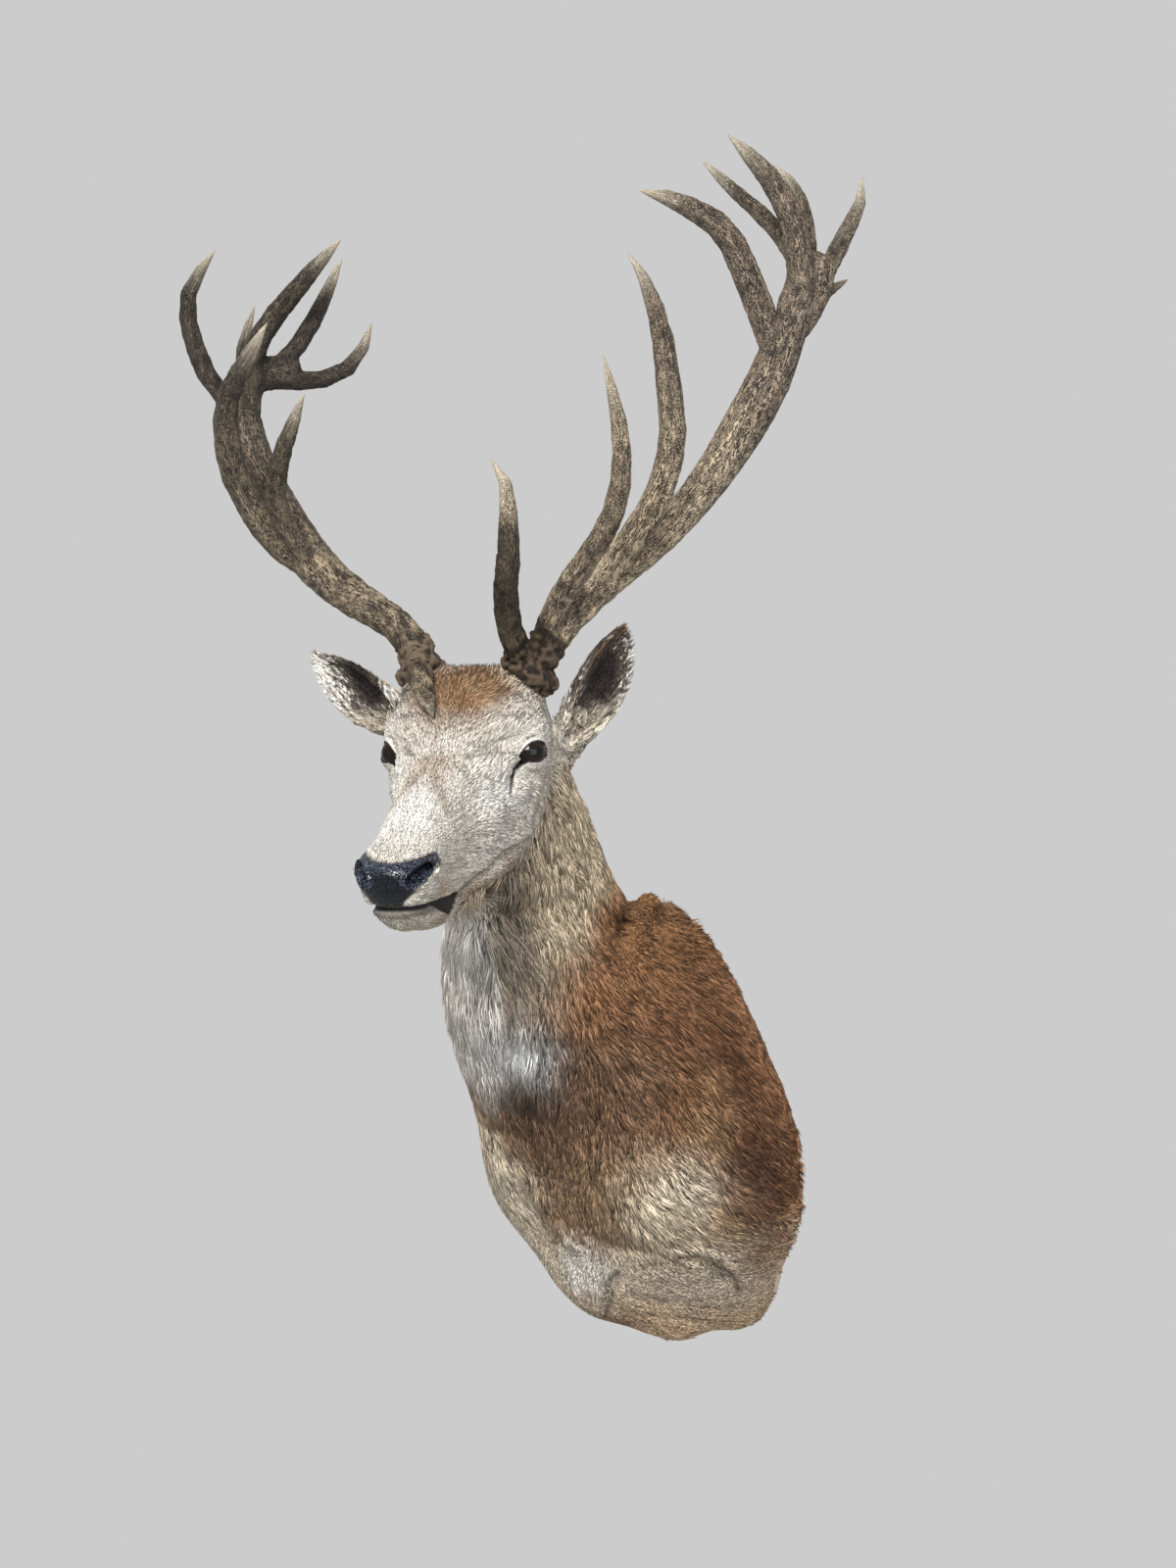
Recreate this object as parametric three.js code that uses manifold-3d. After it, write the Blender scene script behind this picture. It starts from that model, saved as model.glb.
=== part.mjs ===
// Red deer stag shoulder mount: head, neck and shoulders on a flat back board, with a full set
// of antlers. Millimetres, +Z up. The wall is the plane y = 0, the stag faces -y and +x is the
// stag's left. The origin is the middle of the back board's rear face.
import * as THREE from 'three';
import { mergeVertices } from 'three/addons/utils/BufferGeometryUtils.js';
import Module from 'manifold-3d';

const wasm = await Module();
wasm.setup();

// ---------------------------------------------------------------- driving dimensions
const GAP = 0.3; // clearance between neighbouring pieces
const SLIVER = 0.004; // edges shorter than this are closed up after a cut
const EYE_LINE = new THREE.Vector3(60, -380, 408); // point midway between the eyes
const HEAD_TURN = 33; // degrees, the head looks to the stag's left
const HEAD_NOD = 4; // degrees, the nose dips
const EYE_RADIUS = 19;
const EYE_SPREAD = 69; // half distance between the eyeball centres
const BOARD_THICKNESS = 18;
const BOARD_RIM = 7; // hide turned over the edge of the board
const BOARD_LOW = -262;
const BOARD_HIGH = 206;
const BODY_SIDES = 26;
const HEAD_SIDES = 22;
const BEAM_SIDES = 10;
const TINE_SIDES = 7;
const BURR_SIDES = 15;

// ---------------------------------------------------------------- materials
const material = (color, roughness, metalness = 0) =>
  new THREE.MeshStandardMaterial({ color, roughness, metalness });
const FACE_HAIR = material(0xcfc6b6, 0.95);
const NECK_HAIR = material(0xa8977c, 0.95);
const BODY_HAIR = material(0x7a4f2d, 0.95);
const EAR_HAIR = material(0x8f8272, 0.95);
const NOSE_SKIN = material(0x15171c, 0.35);
const EYE_GLASS = material(0x120c08, 0.05);
const ANTLER = material(0x5b4c40, 0.8);
const WOOD = material(0xa98357, 0.75);
const STEEL = material(0x9a9da0, 0.35, 1);

// ---------------------------------------------------------------- solids
/** Closed surface through rings of equal point count, with a fan over each end. */
function loft(rings) {
  const sides = rings[0].length;
  const positions = [];
  for (const ring of rings) {
    for (const p of ring) positions.push(p.x, p.y, p.z);
  }
  const index = [];
  for (let r = 0; r + 1 < rings.length; r += 1) {
    for (let k = 0; k < sides; k += 1) {
      const a = r * sides + k;
      const b = r * sides + ((k + 1) % sides);
      index.push(a, b, b + sides, a, b + sides, a + sides);
    }
  }
  for (const [ring, start, flip] of [
    [rings[0], 0, true],
    [rings.at(-1), (rings.length - 1) * sides, false],
  ]) {
    const middle = new THREE.Vector3();
    for (const p of ring) middle.addScaledVector(p, 1 / sides);
    const centre = positions.length / 3;
    positions.push(middle.x, middle.y, middle.z);
    for (let k = 0; k < sides; k += 1) {
      const a = start + k;
      const b = start + ((k + 1) % sides);
      if (flip) index.push(b, a, centre);
      else index.push(a, b, centre);
    }
  }
  const geometry = new THREE.BufferGeometry();
  geometry.setAttribute('position', new THREE.Float32BufferAttribute(positions, 3));
  geometry.setIndex(index);
  if (signedVolume(geometry) < 0) {
    for (let i = 0; i < index.length; i += 3) {
      [index[i], index[i + 1]] = [index[i + 1], index[i]];
    }
    geometry.setIndex(index);
  }
  return geometry;
}

function signedVolume(geometry) {
  const p = geometry.getAttribute('position');
  const index = geometry.getIndex();
  const [a, b, c] = [new THREE.Vector3(), new THREE.Vector3(), new THREE.Vector3()];
  let volume = 0;
  for (let i = 0; i < index.count; i += 3) {
    a.fromBufferAttribute(p, index.getX(i));
    b.fromBufferAttribute(p, index.getX(i + 1));
    c.fromBufferAttribute(p, index.getX(i + 2));
    volume += a.dot(b.cross(c)) / 6;
  }
  return volume;
}

/** A closed geometry as a solid that can be joined and cut. */
function solid(geometry) {
  const bare = geometry.clone();
  for (const name of Object.keys(bare.attributes)) {
    if (name !== 'position') bare.deleteAttribute(name);
  }
  const merged = mergeVertices(bare, 1e-4);
  return new wasm.Manifold(new wasm.Mesh({
    numProp: 3,
    vertProperties: new Float32Array(merged.getAttribute('position').array),
    triVerts: new Uint32Array(merged.getIndex().array),
  }));
}

/** The largest body of a solid, as a geometry. */
function shape(body) {
  const bodies = body.decompose();
  bodies.sort((a, b) => b.volume() - a.volume());
  const mesh = bodies[0].asOriginal().simplify(SLIVER).getMesh();
  const geometry = new THREE.BufferGeometry();
  const points = new Float32Array(mesh.vertProperties);
  geometry.setAttribute('position', new THREE.BufferAttribute(points, 3));
  geometry.setIndex(new THREE.BufferAttribute(new Uint32Array(mesh.triVerts), 1));
  geometry.computeVertexNormals();
  return geometry;
}

const join = (bodies) => bodies.reduce((a, b) => a.add(b));

/** Keeps the part of a body on the side of a plane that its normal points to. */
function keep(body, normal, point, gap = 0) {
  const n = normal.clone().normalize();
  return body.trimByPlane([n.x, n.y, n.z], n.dot(point) + gap);
}

// ---------------------------------------------------------------- head frame
const headMatrix = new THREE.Matrix4().makeRotationZ(THREE.MathUtils.degToRad(HEAD_TURN));
headMatrix.multiply(new THREE.Matrix4().makeRotationX(THREE.MathUtils.degToRad(HEAD_NOD)));
headMatrix.setPosition(EYE_LINE);

/** A point of the head, x to the stag's left, y towards the nose, z up, from the eye line. */
function onHead(x, y, z) {
  return new THREE.Vector3(x, -y, z).applyMatrix4(headMatrix);
}

/** A direction of the head in the frame of the mount. */
function headWay(x, y, z) {
  return onHead(x, y, z).sub(onHead(0, 0, 0)).normalize();
}

// ---------------------------------------------------------------- smooth tables
/** Values between the rows of a table whose first column is the station. */
function between(rows, count) {
  const curves = rows[0].map((_, column) => new THREE.CatmullRomCurve3(
    rows.map((row, i) => new THREE.Vector3(i, row[column], 0)), false, 'centripetal'));
  const out = [];
  for (let i = 0; i < count; i += 1) {
    out.push(curves.map((curve) => curve.getPoint(i / (count - 1)).y));
  }
  return out;
}

const superPower = (value, n) => Math.sign(value) * Math.abs(value) ** (2 / n);

// ---------------------------------------------------------------- trunk and neck
// Each row: height of the section's middle, its distance out from the wall, tilt and turn in
// degrees, half width, reach forward, reach back, squareness of the front and of the back, and
// the width at the back as a share of the full width.
const BODY_ROWS = [
  [-278, 10, 0, 0, 40, 44, 9, 1.8, 9, 1.0],
  [-272, 12, 0, 0, 106, 70, 11, 1.7, 9, 1.0],
  [-260, 13, 0, 0, 144, 88, 12, 1.5, 9, 1.0],
  [-242, 15, 0, 0, 160, 108, 14, 1.4, 9, 1.0],
  [-213, 22, 0, 0, 177, 136, 21, 1.6, 9, 1.0],
  [-178, 34, 0, 0, 187, 138, 33, 2.1, 9, 1.0],
  [-128, 40, 0, 0, 208, 152, 39, 2.2, 9, 1.0],
  [-71, 44, 0, 0, 212, 178, 43, 1.85, 9, 1.0],
  [-21, 54, 0, 0, 207, 206, 53, 1.62, 9, 1.0],
  [30, 86, 0, 0, 186, 202, 85, 1.75, 9, 1.0],
  [75, 126, 0, 0, 162, 180, 125, 1.9, 9, 0.98],
  [120, 165, 0, 0, 136, 158, 164, 2.0, 9, 0.97],
  [160, 190, 0, 0, 118, 143, 189, 2.0, 9, 0.87],
  [195, 207, 0, 0, 105, 132, 206, 2.0, 8.5, 0.73],
  [222, 218, 0, 0, 96, 124, 215, 2.0, 6.5, 0.4],
  [238, 223, 0, 0, 92, 119, 200, 2.0, 4, 0.34],
  [249, 227, 1, 1, 90, 116, 130, 2.0, 2.2, 0.8],
  [264, 233, 6, 3, 88, 113, 104, 2.0, 2.0, 1.0],
  [292, 246, 18, 7, 85, 111, 96, 2.0, 2.0, 1.0],
  [325, 262, 32, 12, 81, 109, 90, 2.0, 2.0, 1.0],
  [360, 282, 46, 18, 78, 106, 88, 2.0, 2.0, 1.0],
  [391, 303, 57, 24, 74, 100, 86, 2.0, 2.0, 1.0],
  [408, 318, 64, 28, 66, 88, 78, 2.0, 2.0, 1.0],
];
// Sideways drift of the neck towards the turned head: [height, sideways].
const NECK_DRIFT = [[200, 0], [262, 7], [325, 15], [391, 26], [420, 32]];

// Local fullness: place, radius of its effect, and how far the surface stands out there.
const FULLNESS = [
  { at: [136, -148, -112], reach: 56, by: 10 }, // left point of the shoulder
  { at: [-136, -148, -112], reach: 56, by: 10 },
  { at: [70, -76, -262], reach: 44, by: 12 }, // root of the left foreleg
  { at: [-70, -76, -262], reach: 44, by: 12 },
  { at: [112, -44, -258], reach: 24, by: -12 }, // left armpit
  { at: [-112, -44, -258], reach: 24, by: -12 },
  { at: [84, -196, -140], reach: 44, by: -9 }, // hollow beside the breast bone
  { at: [-84, -196, -140], reach: 44, by: -9 },
  { at: [0, -214, -110], reach: 46, by: 9 }, // breast bone
  { at: [0, -176, -190], reach: 42, by: 8 },
  { at: [0, -18, 236], reach: 40, by: 6 }, // withers
];

function drift(z) {
  if (z <= NECK_DRIFT[0][0]) return 0;
  for (let i = 0; i + 1 < NECK_DRIFT.length; i += 1) {
    const [[z0, x0], [z1, x1]] = [NECK_DRIFT[i], NECK_DRIFT[i + 1]];
    if (z <= z1) return x0 + (x1 - x0) * (z - z0) / (z1 - z0);
  }
  return NECK_DRIFT.at(-1)[1];
}

/** The way round the square rear of a section: out along one side, the back, the other side. */
function squareWay(step) {
  const last = BODY_SIDES / 2 - 1;
  const corner = 4;
  if (step <= corner) return [-1, -(step + 0.5) / (corner + 0.5)];
  if (step >= last - corner) return [1, -(last - step + 0.5) / (corner + 0.5)];
  return [-1 + 2 * (step - corner) / (last - 2 * corner), -1];
}

function bodyRing(row) {
  const [z, out, tilt, turn, half, front, back, squareFront, squareBack, backShare] = row;
  const centre = new THREE.Vector3(drift(z), -out, z);
  const yaw = THREE.MathUtils.degToRad(turn);
  const lean = THREE.MathUtils.degToRad(tilt);
  const side = new THREE.Vector3(Math.cos(yaw), Math.sin(yaw), 0);
  const ahead = new THREE.Vector3(Math.sin(yaw), -Math.cos(yaw), 0).multiplyScalar(Math.cos(lean));
  ahead.z = -Math.sin(lean);
  const ring = [];
  const flat = (squareBack - 2) / 7;
  for (let k = 0; k < BODY_SIDES; k += 1) {
    const angle = 2 * Math.PI * (k + 0.5) / BODY_SIDES;
    let x = half * superPower(Math.cos(angle), squareFront);
    let v = front * superPower(Math.sin(angle), squareFront);
    if (k >= BODY_SIDES / 2) {
      const [wide, deep] = squareWay(k - BODY_SIDES / 2);
      const share = 1 + (backShare - 1) * (-deep);
      x = half * (flat * wide * share + (1 - flat) * Math.cos(angle));
      v = back * (flat * deep + (1 - flat) * Math.sin(angle));
    }
    const p = centre.clone().addScaledVector(side, x).addScaledVector(ahead, v);
    for (const { at, reach, by } of FULLNESS) {
      const distance = p.distanceTo(new THREE.Vector3(...at));
      const outward = p.clone().sub(new THREE.Vector3(centre.x, -Math.min(out, 60), z + 40));
      p.addScaledVector(outward.normalize(), by * Math.exp(-((distance / reach) ** 2)));
    }
    p.y = Math.min(p.y, -1);
    ring.push(p);
  }
  return ring;
}

const bodyRows = between(BODY_ROWS, 28);
const bodySolid = solid(loft(bodyRows.map(bodyRing)));

const wallEdge = bodyRows.map((row) => {
  const ring = bodyRing(row);
  const reach = (depth) => {
    let half = 0;
    ring.forEach((p, i) => {
      const q = ring[(i + 1) % ring.length];
      const share = (depth - p.y) / (q.y - p.y);
      if (share >= 0 && share <= 1) half = Math.max(half, p.x + share * (q.x - p.x));
    });
    return half;
  };
  return { z: row[0], half: Math.min(reach(-1.2), reach(-BOARD_THICKNESS - 4)) };
});

/** Half width of the body over the depth of the back board. */
function wallHalfWidth(z) {
  for (let i = 0; i + 1 < wallEdge.length; i += 1) {
    const [a, b] = [wallEdge[i], wallEdge[i + 1]];
    if (z >= a.z && z <= b.z) return a.half + (b.half - a.half) * (z - a.z) / (b.z - a.z);
  }
  return 0;
}

// ---------------------------------------------------------------- head
// Each row: distance towards the nose, half width, height of the widest level, top, bottom,
// squareness of the top and of the bottom, and how much the sides draw in towards the jaw.
const HEAD_ROWS = [
  [-132, 46, 0, 38, -56, 2.0, 2.0, 0.0],
  [-108, 70, 2, 72, -98, 2.2, 2.0, 0.06],
  [-78, 80, 6, 92, -126, 2.4, 2.1, 0.12],
  [-48, 83, 8, 97, -140, 2.6, 2.2, 0.16],
  [-22, 86, 6, 85, -147, 2.8, 2.3, 0.2],
  [0, 84, 2, 67, -150, 2.8, 2.4, 0.2],
  [22, 72, -6, 52, -150, 2.6, 2.6, 0.12],
  [48, 60, -20, 36, -149, 2.3, 2.8, 0.02],
  [78, 50, -38, 18, -147, 2.1, 2.8, -0.02],
  [108, 41, -55, 0, -145, 2.1, 2.8, 0.0],
  [138, 36, -68, -17, -144, 2.2, 2.6, 0.0],
  [166, 34, -80, -38, -147, 2.3, 2.5, 0.02],
  [190, 35, -88, -57, -151, 2.5, 2.4, 0.08],
  [210, 36, -93, -69, -147, 2.6, 2.3, 0.14],
  [226, 33, -97, -77, -136, 2.4, 2.2, 0.2],
  [237, 25, -100, -83, -122, 2.2, 2.0, 0.1],
  [243, 11, -101, -91, -110, 2.0, 2.0, 0.0],
];

// Local fullness of the head, mirrored on both sides.
const HEAD_FULLNESS = [
  { at: [72, -4, 24], reach: 24, by: 7 }, // brow over the eye
  { at: [74, -24, -52], reach: 42, by: 5 }, // cheek muscle
  { at: [62, 46, -14], reach: 17, by: -4 }, // tear pit
  { at: [38, 212, -92], reach: 16, by: 4 }, // nostril
  { at: [44, 96, -60], reach: 26, by: -3 }, // hollow along the muzzle
  { at: [0, 24, 50], reach: 20, by: -2 }, // hollow of the forehead
];

function headRing([y, half, level, top, bottom, squareTop, squareLow, drawIn], grow = 0) {
  const ring = [];
  for (let k = 0; k < HEAD_SIDES; k += 1) {
    const angle = 2 * Math.PI * (k + 0.5) / HEAD_SIDES;
    const high = Math.sin(angle) > 0;
    const u = superPower(Math.cos(angle), high ? squareTop : squareLow);
    const v = superPower(Math.sin(angle), high ? squareTop : squareLow);
    const x = half * u * (high ? 1 : 1 - drawIn * Math.abs(v));
    const z = level + v * (high ? top - level : level - bottom);
    const p = new THREE.Vector3(x, y, z);
    const outward = new THREE.Vector3(x, 0, z - level + 20).normalize();
    for (const { at, reach, by } of HEAD_FULLNESS) {
      const distance = Math.hypot(Math.abs(x) - at[0], y - at[1], z - at[2]);
      p.addScaledVector(outward, by * Math.exp(-((distance / reach) ** 2)));
    }
    p.addScaledVector(outward, grow);
    ring.push(onHead(p.x, p.y, p.z));
  }
  return ring;
}

/** A round limb through points of the head, with a radius at each end of the list. */
function stump(from, to, radiusFrom, radiusTo, grow = 0) {
  const way = to.clone().sub(from).normalize();
  const across = new THREE.Vector3(0, 0, 1).cross(way).normalize();
  const along = way.clone().cross(across);
  const rings = [];
  for (const share of [0, 1]) {
    const radius = radiusFrom + (radiusTo - radiusFrom) * share + grow;
    const ring = [];
    for (let k = 0; k < 14; k += 1) {
      const a = 2 * Math.PI * k / 14;
      ring.push(from.clone().lerp(to, share)
        .addScaledVector(across, radius * Math.cos(a)).addScaledVector(along, radius * Math.sin(a)));
    }
    rings.push(ring);
  }
  return solid(loft(rings));
}

const BURR_LEFT = [[60, -48, 88], [81, -50, 115]];
const BURR_RIGHT = [[-60, -48, 90], [-72, -50, 118]];
const pedicles = (grow) => [BURR_LEFT, BURR_RIGHT].map(([foot, next]) => {
  const way = onHead(...next).sub(onHead(...foot)).normalize();
  const top = onHead(...foot).addScaledVector(way, -9 - GAP);
  return stump(top.clone().addScaledVector(way, -46), top, 31, 25, grow);
});
const headWhole = solid(loft(between(HEAD_ROWS, 20).map((row) => headRing(row))));

const eyeBall = (side, grow) => {
  const ball = new THREE.SphereGeometry(EYE_RADIUS + grow, 14, 9);
  const at = onHead(side * EYE_SPREAD + 1.5, 5, 4);
  ball.translate(at.x, at.y, at.z);
  return ball;
};

// ---------------------------------------------------------------- ears
// Each row: share of the length, half width of the leaf, opening angle in degrees of the
// cupped shell, thickness of the shell.
const EAR_ROWS = [
  [0, 17, 175, 15],
  [0.14, 23, 150, 12],
  [0.3, 27, 116, 8],
  [0.48, 29, 96, 6.5],
  [0.65, 28, 86, 5.5],
  [0.8, 22, 80, 5],
  [0.92, 12, 76, 4.4],
  [1, 3, 70, 3],
];

/** A cupped leaf from the root to the tip, open towards `face`. */
function ear(root, bend, tip, face) {
  const spine = new THREE.CatmullRomCurve3([onHead(...root), onHead(...bend), onHead(...tip)]);
  const rings = [];
  for (const [share, half, open, thick] of between(EAR_ROWS, 9)) {
    const centre = spine.getPointAt(Math.min(1, Math.max(0, share)));
    const way = spine.getTangentAt(Math.min(1, Math.max(0, share)));
    const front = headWay(...face);
    front.addScaledVector(way, -front.dot(way)).normalize();
    const across = way.clone().cross(front);
    const sweep = THREE.MathUtils.degToRad(Math.min(open, 165));
    const radius = half / Math.sin(Math.min(sweep, Math.PI / 2));
    const inner = Math.max(radius - thick, 0.6);
    const ring = [];
    const steps = 6;
    for (let k = 0; k <= steps; k += 1) {
      const a = sweep * (2 * k / steps - 1);
      ring.push(centre.clone().addScaledVector(across, radius * Math.sin(a))
        .addScaledVector(front, radius * (0.55 - Math.cos(a))));
    }
    for (let k = steps; k >= 0; k -= 1) {
      const a = sweep * (2 * k / steps - 1) * 0.985;
      ring.push(centre.clone().addScaledVector(across, inner * Math.sin(a))
        .addScaledVector(front, radius * 0.55 - inner * Math.cos(a)));
    }
    rings.push(ring);
  }
  return solid(loft(rings));
}

// ---------------------------------------------------------------- antlers
/** How a tine keeps its girth and then runs out to a point. */
const tineTaper = (t) => (1 - t ** 3) ** 0.62;

/** A round limb of bone along points of the head frame. */
function limb(points, radiusAt, sides, steps, grow = 0) {
  const curve = new THREE.CatmullRomCurve3(points.map((p) => onHead(...p)), false, 'centripetal');
  const frames = curve.computeFrenetFrames(steps, false);
  const rings = [];
  for (let i = 0; i <= steps; i += 1) {
    const t = i / steps;
    const centre = curve.getPointAt(t);
    const radius = Math.max(radiusAt(t), 1.2) + grow;
    const ring = [];
    for (let k = 0; k < sides; k += 1) {
      const a = 2 * Math.PI * k / sides;
      ring.push(centre.clone()
        .addScaledVector(frames.normals[i], radius * Math.cos(a))
        .addScaledVector(frames.binormals[i], radius * Math.sin(a)));
    }
    rings.push(ring);
  }
  return solid(loft(rings));
}

/** A tine with a base radius. */
function tine(radius, ...points) {
  const length = new THREE.CatmullRomCurve3(points.map((p) => onHead(...p))).getLength();
  const steps = Math.max(4, Math.round(length / 30));
  return (grow = 0) => limb(points, (t) => radius * tineTaper(t), TINE_SIDES, steps, grow);
}

/** A main beam whose radius runs through the listed values. */
function beam(radii, ...points) {
  const radiusAt = (t) => {
    const place = t * (radii.length - 1);
    const i = Math.min(Math.floor(place), radii.length - 2);
    return radii[i] + (radii[i + 1] - radii[i]) * (place - i);
  };
  return (grow = 0) => limb(points, radiusAt, BEAM_SIDES, 15, grow);
}

/** A flat web of bone between two points, tall in one direction and thin in the other. */
function web(from, to, tall, thickness, talls) {
  return (grow = 0) => {
    const [a, b] = [onHead(...from), onHead(...to)];
    const way = b.clone().sub(a).normalize();
    const up = headWay(...tall);
    up.addScaledVector(way, -up.dot(way)).normalize();
    const across = way.clone().cross(up);
    const rings = talls.map((height, i) => {
      const centre = a.clone().lerp(b, i / (talls.length - 1));
      const ring = [];
      for (let k = 0; k < 10; k += 1) {
        const angle = 2 * Math.PI * k / 10;
        ring.push(centre.clone().addScaledVector(up, (height + grow) * Math.cos(angle))
          .addScaledVector(across, (thickness + grow) * Math.sin(angle)));
      }
      return ring;
    });
    return solid(loft(rings));
  };
}

/** The knobbly coronet round the foot of a beam. */
function burr([foot, next], radius, height) {
  return (grow = 0) => {
    const [a, b] = [onHead(...foot), onHead(...next)];
    const way = b.sub(a).normalize();
    const across = new THREE.Vector3(0, 0, 1).cross(way).normalize();
    const along = way.clone().cross(across);
    const rings = [[-0.62, 0.8], [-0.3, 1], [0.25, 1.02], [0.62, 0.78]].map(([level, share], i) => {
      const centre = a.clone().addScaledVector(way, level * height);
      const ring = [];
      for (let k = 0; k < BURR_SIDES; k += 1) {
        const angle = 2 * Math.PI * k / BURR_SIDES;
        const knob = 1 + 0.07 * Math.cos(5 * angle + i) + 0.04 * Math.sin(3 * angle);
        const r = radius * share * knob + grow;
        ring.push(centre.clone().addScaledVector(across, r * Math.cos(angle))
          .addScaledVector(along, r * Math.sin(angle)));
      }
      return ring;
    });
    return solid(loft(rings));
  };
}

const antlers = {
  left: {
    burr: burr(BURR_LEFT, 31, 20),
    beam: beam([20, 18, 18, 18, 19, 21, 24, 25, 22, 15],
      [60, -48, 84], [80, -50, 116], [97, -52, 138], [144, -64, 183], [192, -79, 223],
      [239, -102, 278], [278, -128, 342], [305, -147, 395], [325, -162, 450], [342, -172, 494]),
    cuts: [[192, -79, 223], [298, -141, 378]],
    webs: [web([326, -164, 450], [360, -187, 532], [0.75, -0.3, -0.45], 13, [20, 26, 27, 18])],
    tines: {
      brow_tine: tine(14, [56, -42, 94], [53, 0, 130], [59, 40, 163], [71, 72, 196],
        [79, 102, 258], [74, 107, 280], [65, 108, 289]),
      bez_tine: tine(13, [72, -46, 112], [91, -30, 148], [115, -8, 178], [143, 14, 206],
        [174, 45, 248], [184, 68, 294], [183, 80, 325], [172, 92, 381]),
      trez_tine: tine(15.5, [138, -61, 182], [162, -50, 212], [187, -38, 239], [213, -18, 283],
        [223, -2, 325], [222, 12, 358], [217, 34, 418], [204, 48, 460], [190, 57, 484]),
      front_crown_tine: tine(16, [312, -153, 430], [294, -144, 479], [285, -136, 502],
        [264, -115, 546], [240, -102, 563], [210, -88, 576], [178, -76, 584]),
      main_crown_tine: tine(15, [340, -172, 478], [338, -168, 514], [332, -154, 562],
        [307, -134, 606], [267, -112, 645]),
      inner_crown_tine: tine(10, [341, -176, 515], [316, -192, 560], [301, -198, 580],
        [277, -206, 604], [225, -216, 658]),
      upper_crown_tine: tine(9, [348, -182, 520], [345, -190, 561], [339, -200, 595],
        [325, -208, 623], [306, -214, 645]),
      outer_crown_tine: tine(11, [352, -180, 490], [372, -196, 532], [382, -206, 555],
        [393, -214, 579], [402, -220, 602], [403, -224, 628]),
      outer_spur: tine(6, [364, -194, 528], [377, -186, 549], [390, -176, 562]),
      crown_snag: tine(6, [352, -182, 484], [372, -194, 500], [388, -204, 512]),
    },
  },
  right: {
    burr: burr(BURR_RIGHT, 25, 16),
    beam: beam([20, 18, 19, 22, 24, 24, 22, 22, 21, 20, 17],
      [-60, -48, 86], [-68, -50, 120], [-85, -52, 138], [-118, -57, 159], [-155, -64, 182],
      [-186, -72, 208], [-213, -82, 240], [-239, -94, 278], [-266, -108, 319],
      [-286, -122, 359], [-298, -137, 398], [-290, -152, 441]),
    cuts: [[-222, -86, 253], [-293, -128, 377]],
    webs: [web([-292, -152, 436], [-240, -172, 446], [0, 0, 1], 10, [20, 20, 17, 10])],
    tines: {
      brow_stub: tine(13, [-60, -44, 112], [-52, -16, 90], [-37, 12, 67], [-17, 44, 42]),
      bez_tine: tine(12.5, [-186, -68, 206], [-206, -40, 245], [-210, -26, 266],
        [-203, -8, 289], [-189, 10, 314], [-145, 47, 372]),
      trez_tine: tine(16, [-200, -72, 212], [-223, -52, 232], [-245, -26, 278],
        [-253, -12, 306], [-252, 2, 336], [-247, 14, 366], [-236, 22, 387], [-217, 30, 408],
        [-186, 40, 446]),
      outer_crown_tine: tine(12, [-296, -140, 398], [-327, -132, 417], [-337, -126, 437],
        [-345, -118, 464], [-349, -110, 493], [-343, -102, 522], [-304, -92, 564]),
      main_crown_tine: tine(13, [-294, -148, 425], [-283, -144, 466], [-267, -140, 487],
        [-218, -127, 529], [-163, -114, 572]),
      inner_crown_tine: tine(11, [-280, -157, 436], [-252, -166, 458], [-233, -172, 485],
        [-219, -176, 509], [-190, -184, 571]),
      lower_crown_tine: tine(11, [-275, -162, 433], [-254, -168, 431], [-234, -176, 431],
        [-214, -184, 435], [-191, -192, 446], [-176, -198, 464], [-163, -206, 502]),
      rear_crown_tine: tine(7.5, [-298, -152, 425], [-312, -164, 457], [-311, -172, 478],
        [-301, -186, 527]),
    },
  },
};

// ---------------------------------------------------------------- the mount
const mount = new THREE.Group();
const pieces = {};

function add(name, body, look) {
  const mesh = new THREE.Mesh(body.isBufferGeometry ? body : shape(body), look);
  mesh.name = name;
  mount.add(mesh);
  pieces[name] = mesh;
}

// Antlers: the beam in three lengths, then every tine cut back to the bone it grows from.
const antlerFeet = [];
for (const [side, antler] of Object.entries(antlers)) {
  const whole = (grow) => join([antler.beam(grow), antler.burr(grow),
    ...antler.webs.map((each) => each(grow))]);
  const trunkOfBone = whole(0);
  const cuts = antler.cuts.map((p) => onHead(...p));
  const way = cuts[1].clone().sub(cuts[0]).normalize();
  const crownWay = cuts[1].clone().sub(cuts[0]).normalize();
  const back = way.clone().negate();
  const crownBack = crownWay.clone().negate();
  add(`${side}_lower_beam`, keep(trunkOfBone, back, cuts[0], GAP / 2), ANTLER);
  add(`${side}_middle_beam`,
    keep(keep(trunkOfBone, way, cuts[0], GAP / 2), crownBack, cuts[1], GAP / 2), ANTLER);
  add(`${side}_crown`, keep(trunkOfBone, crownWay, cuts[1], GAP / 2), ANTLER);
  let taken = whole(GAP);
  for (const [name, make] of Object.entries(antler.tines)) {
    add(`${side}_${name}`, make(0).subtract(taken), ANTLER);
    taken = taken.add(make(GAP));
  }
  antlerFeet.push(taken);
}

// Ears, eyes and the parts of the head.
const ears = {
  left: () => ear([84, -92, 10], [126, -90, 74], [157, -70, 134], [0.38, 0.9, -0.1]),
  right: () => ear([-78, -92, 24], [-134, -90, 60], [-190, -68, 110], [-0.3, 0.9, 0.2]),
};
const antlerSpace = join(antlerFeet);
const fleshHead = join([headWhole, ...pedicles(0)]).subtract(antlerSpace);

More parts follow.
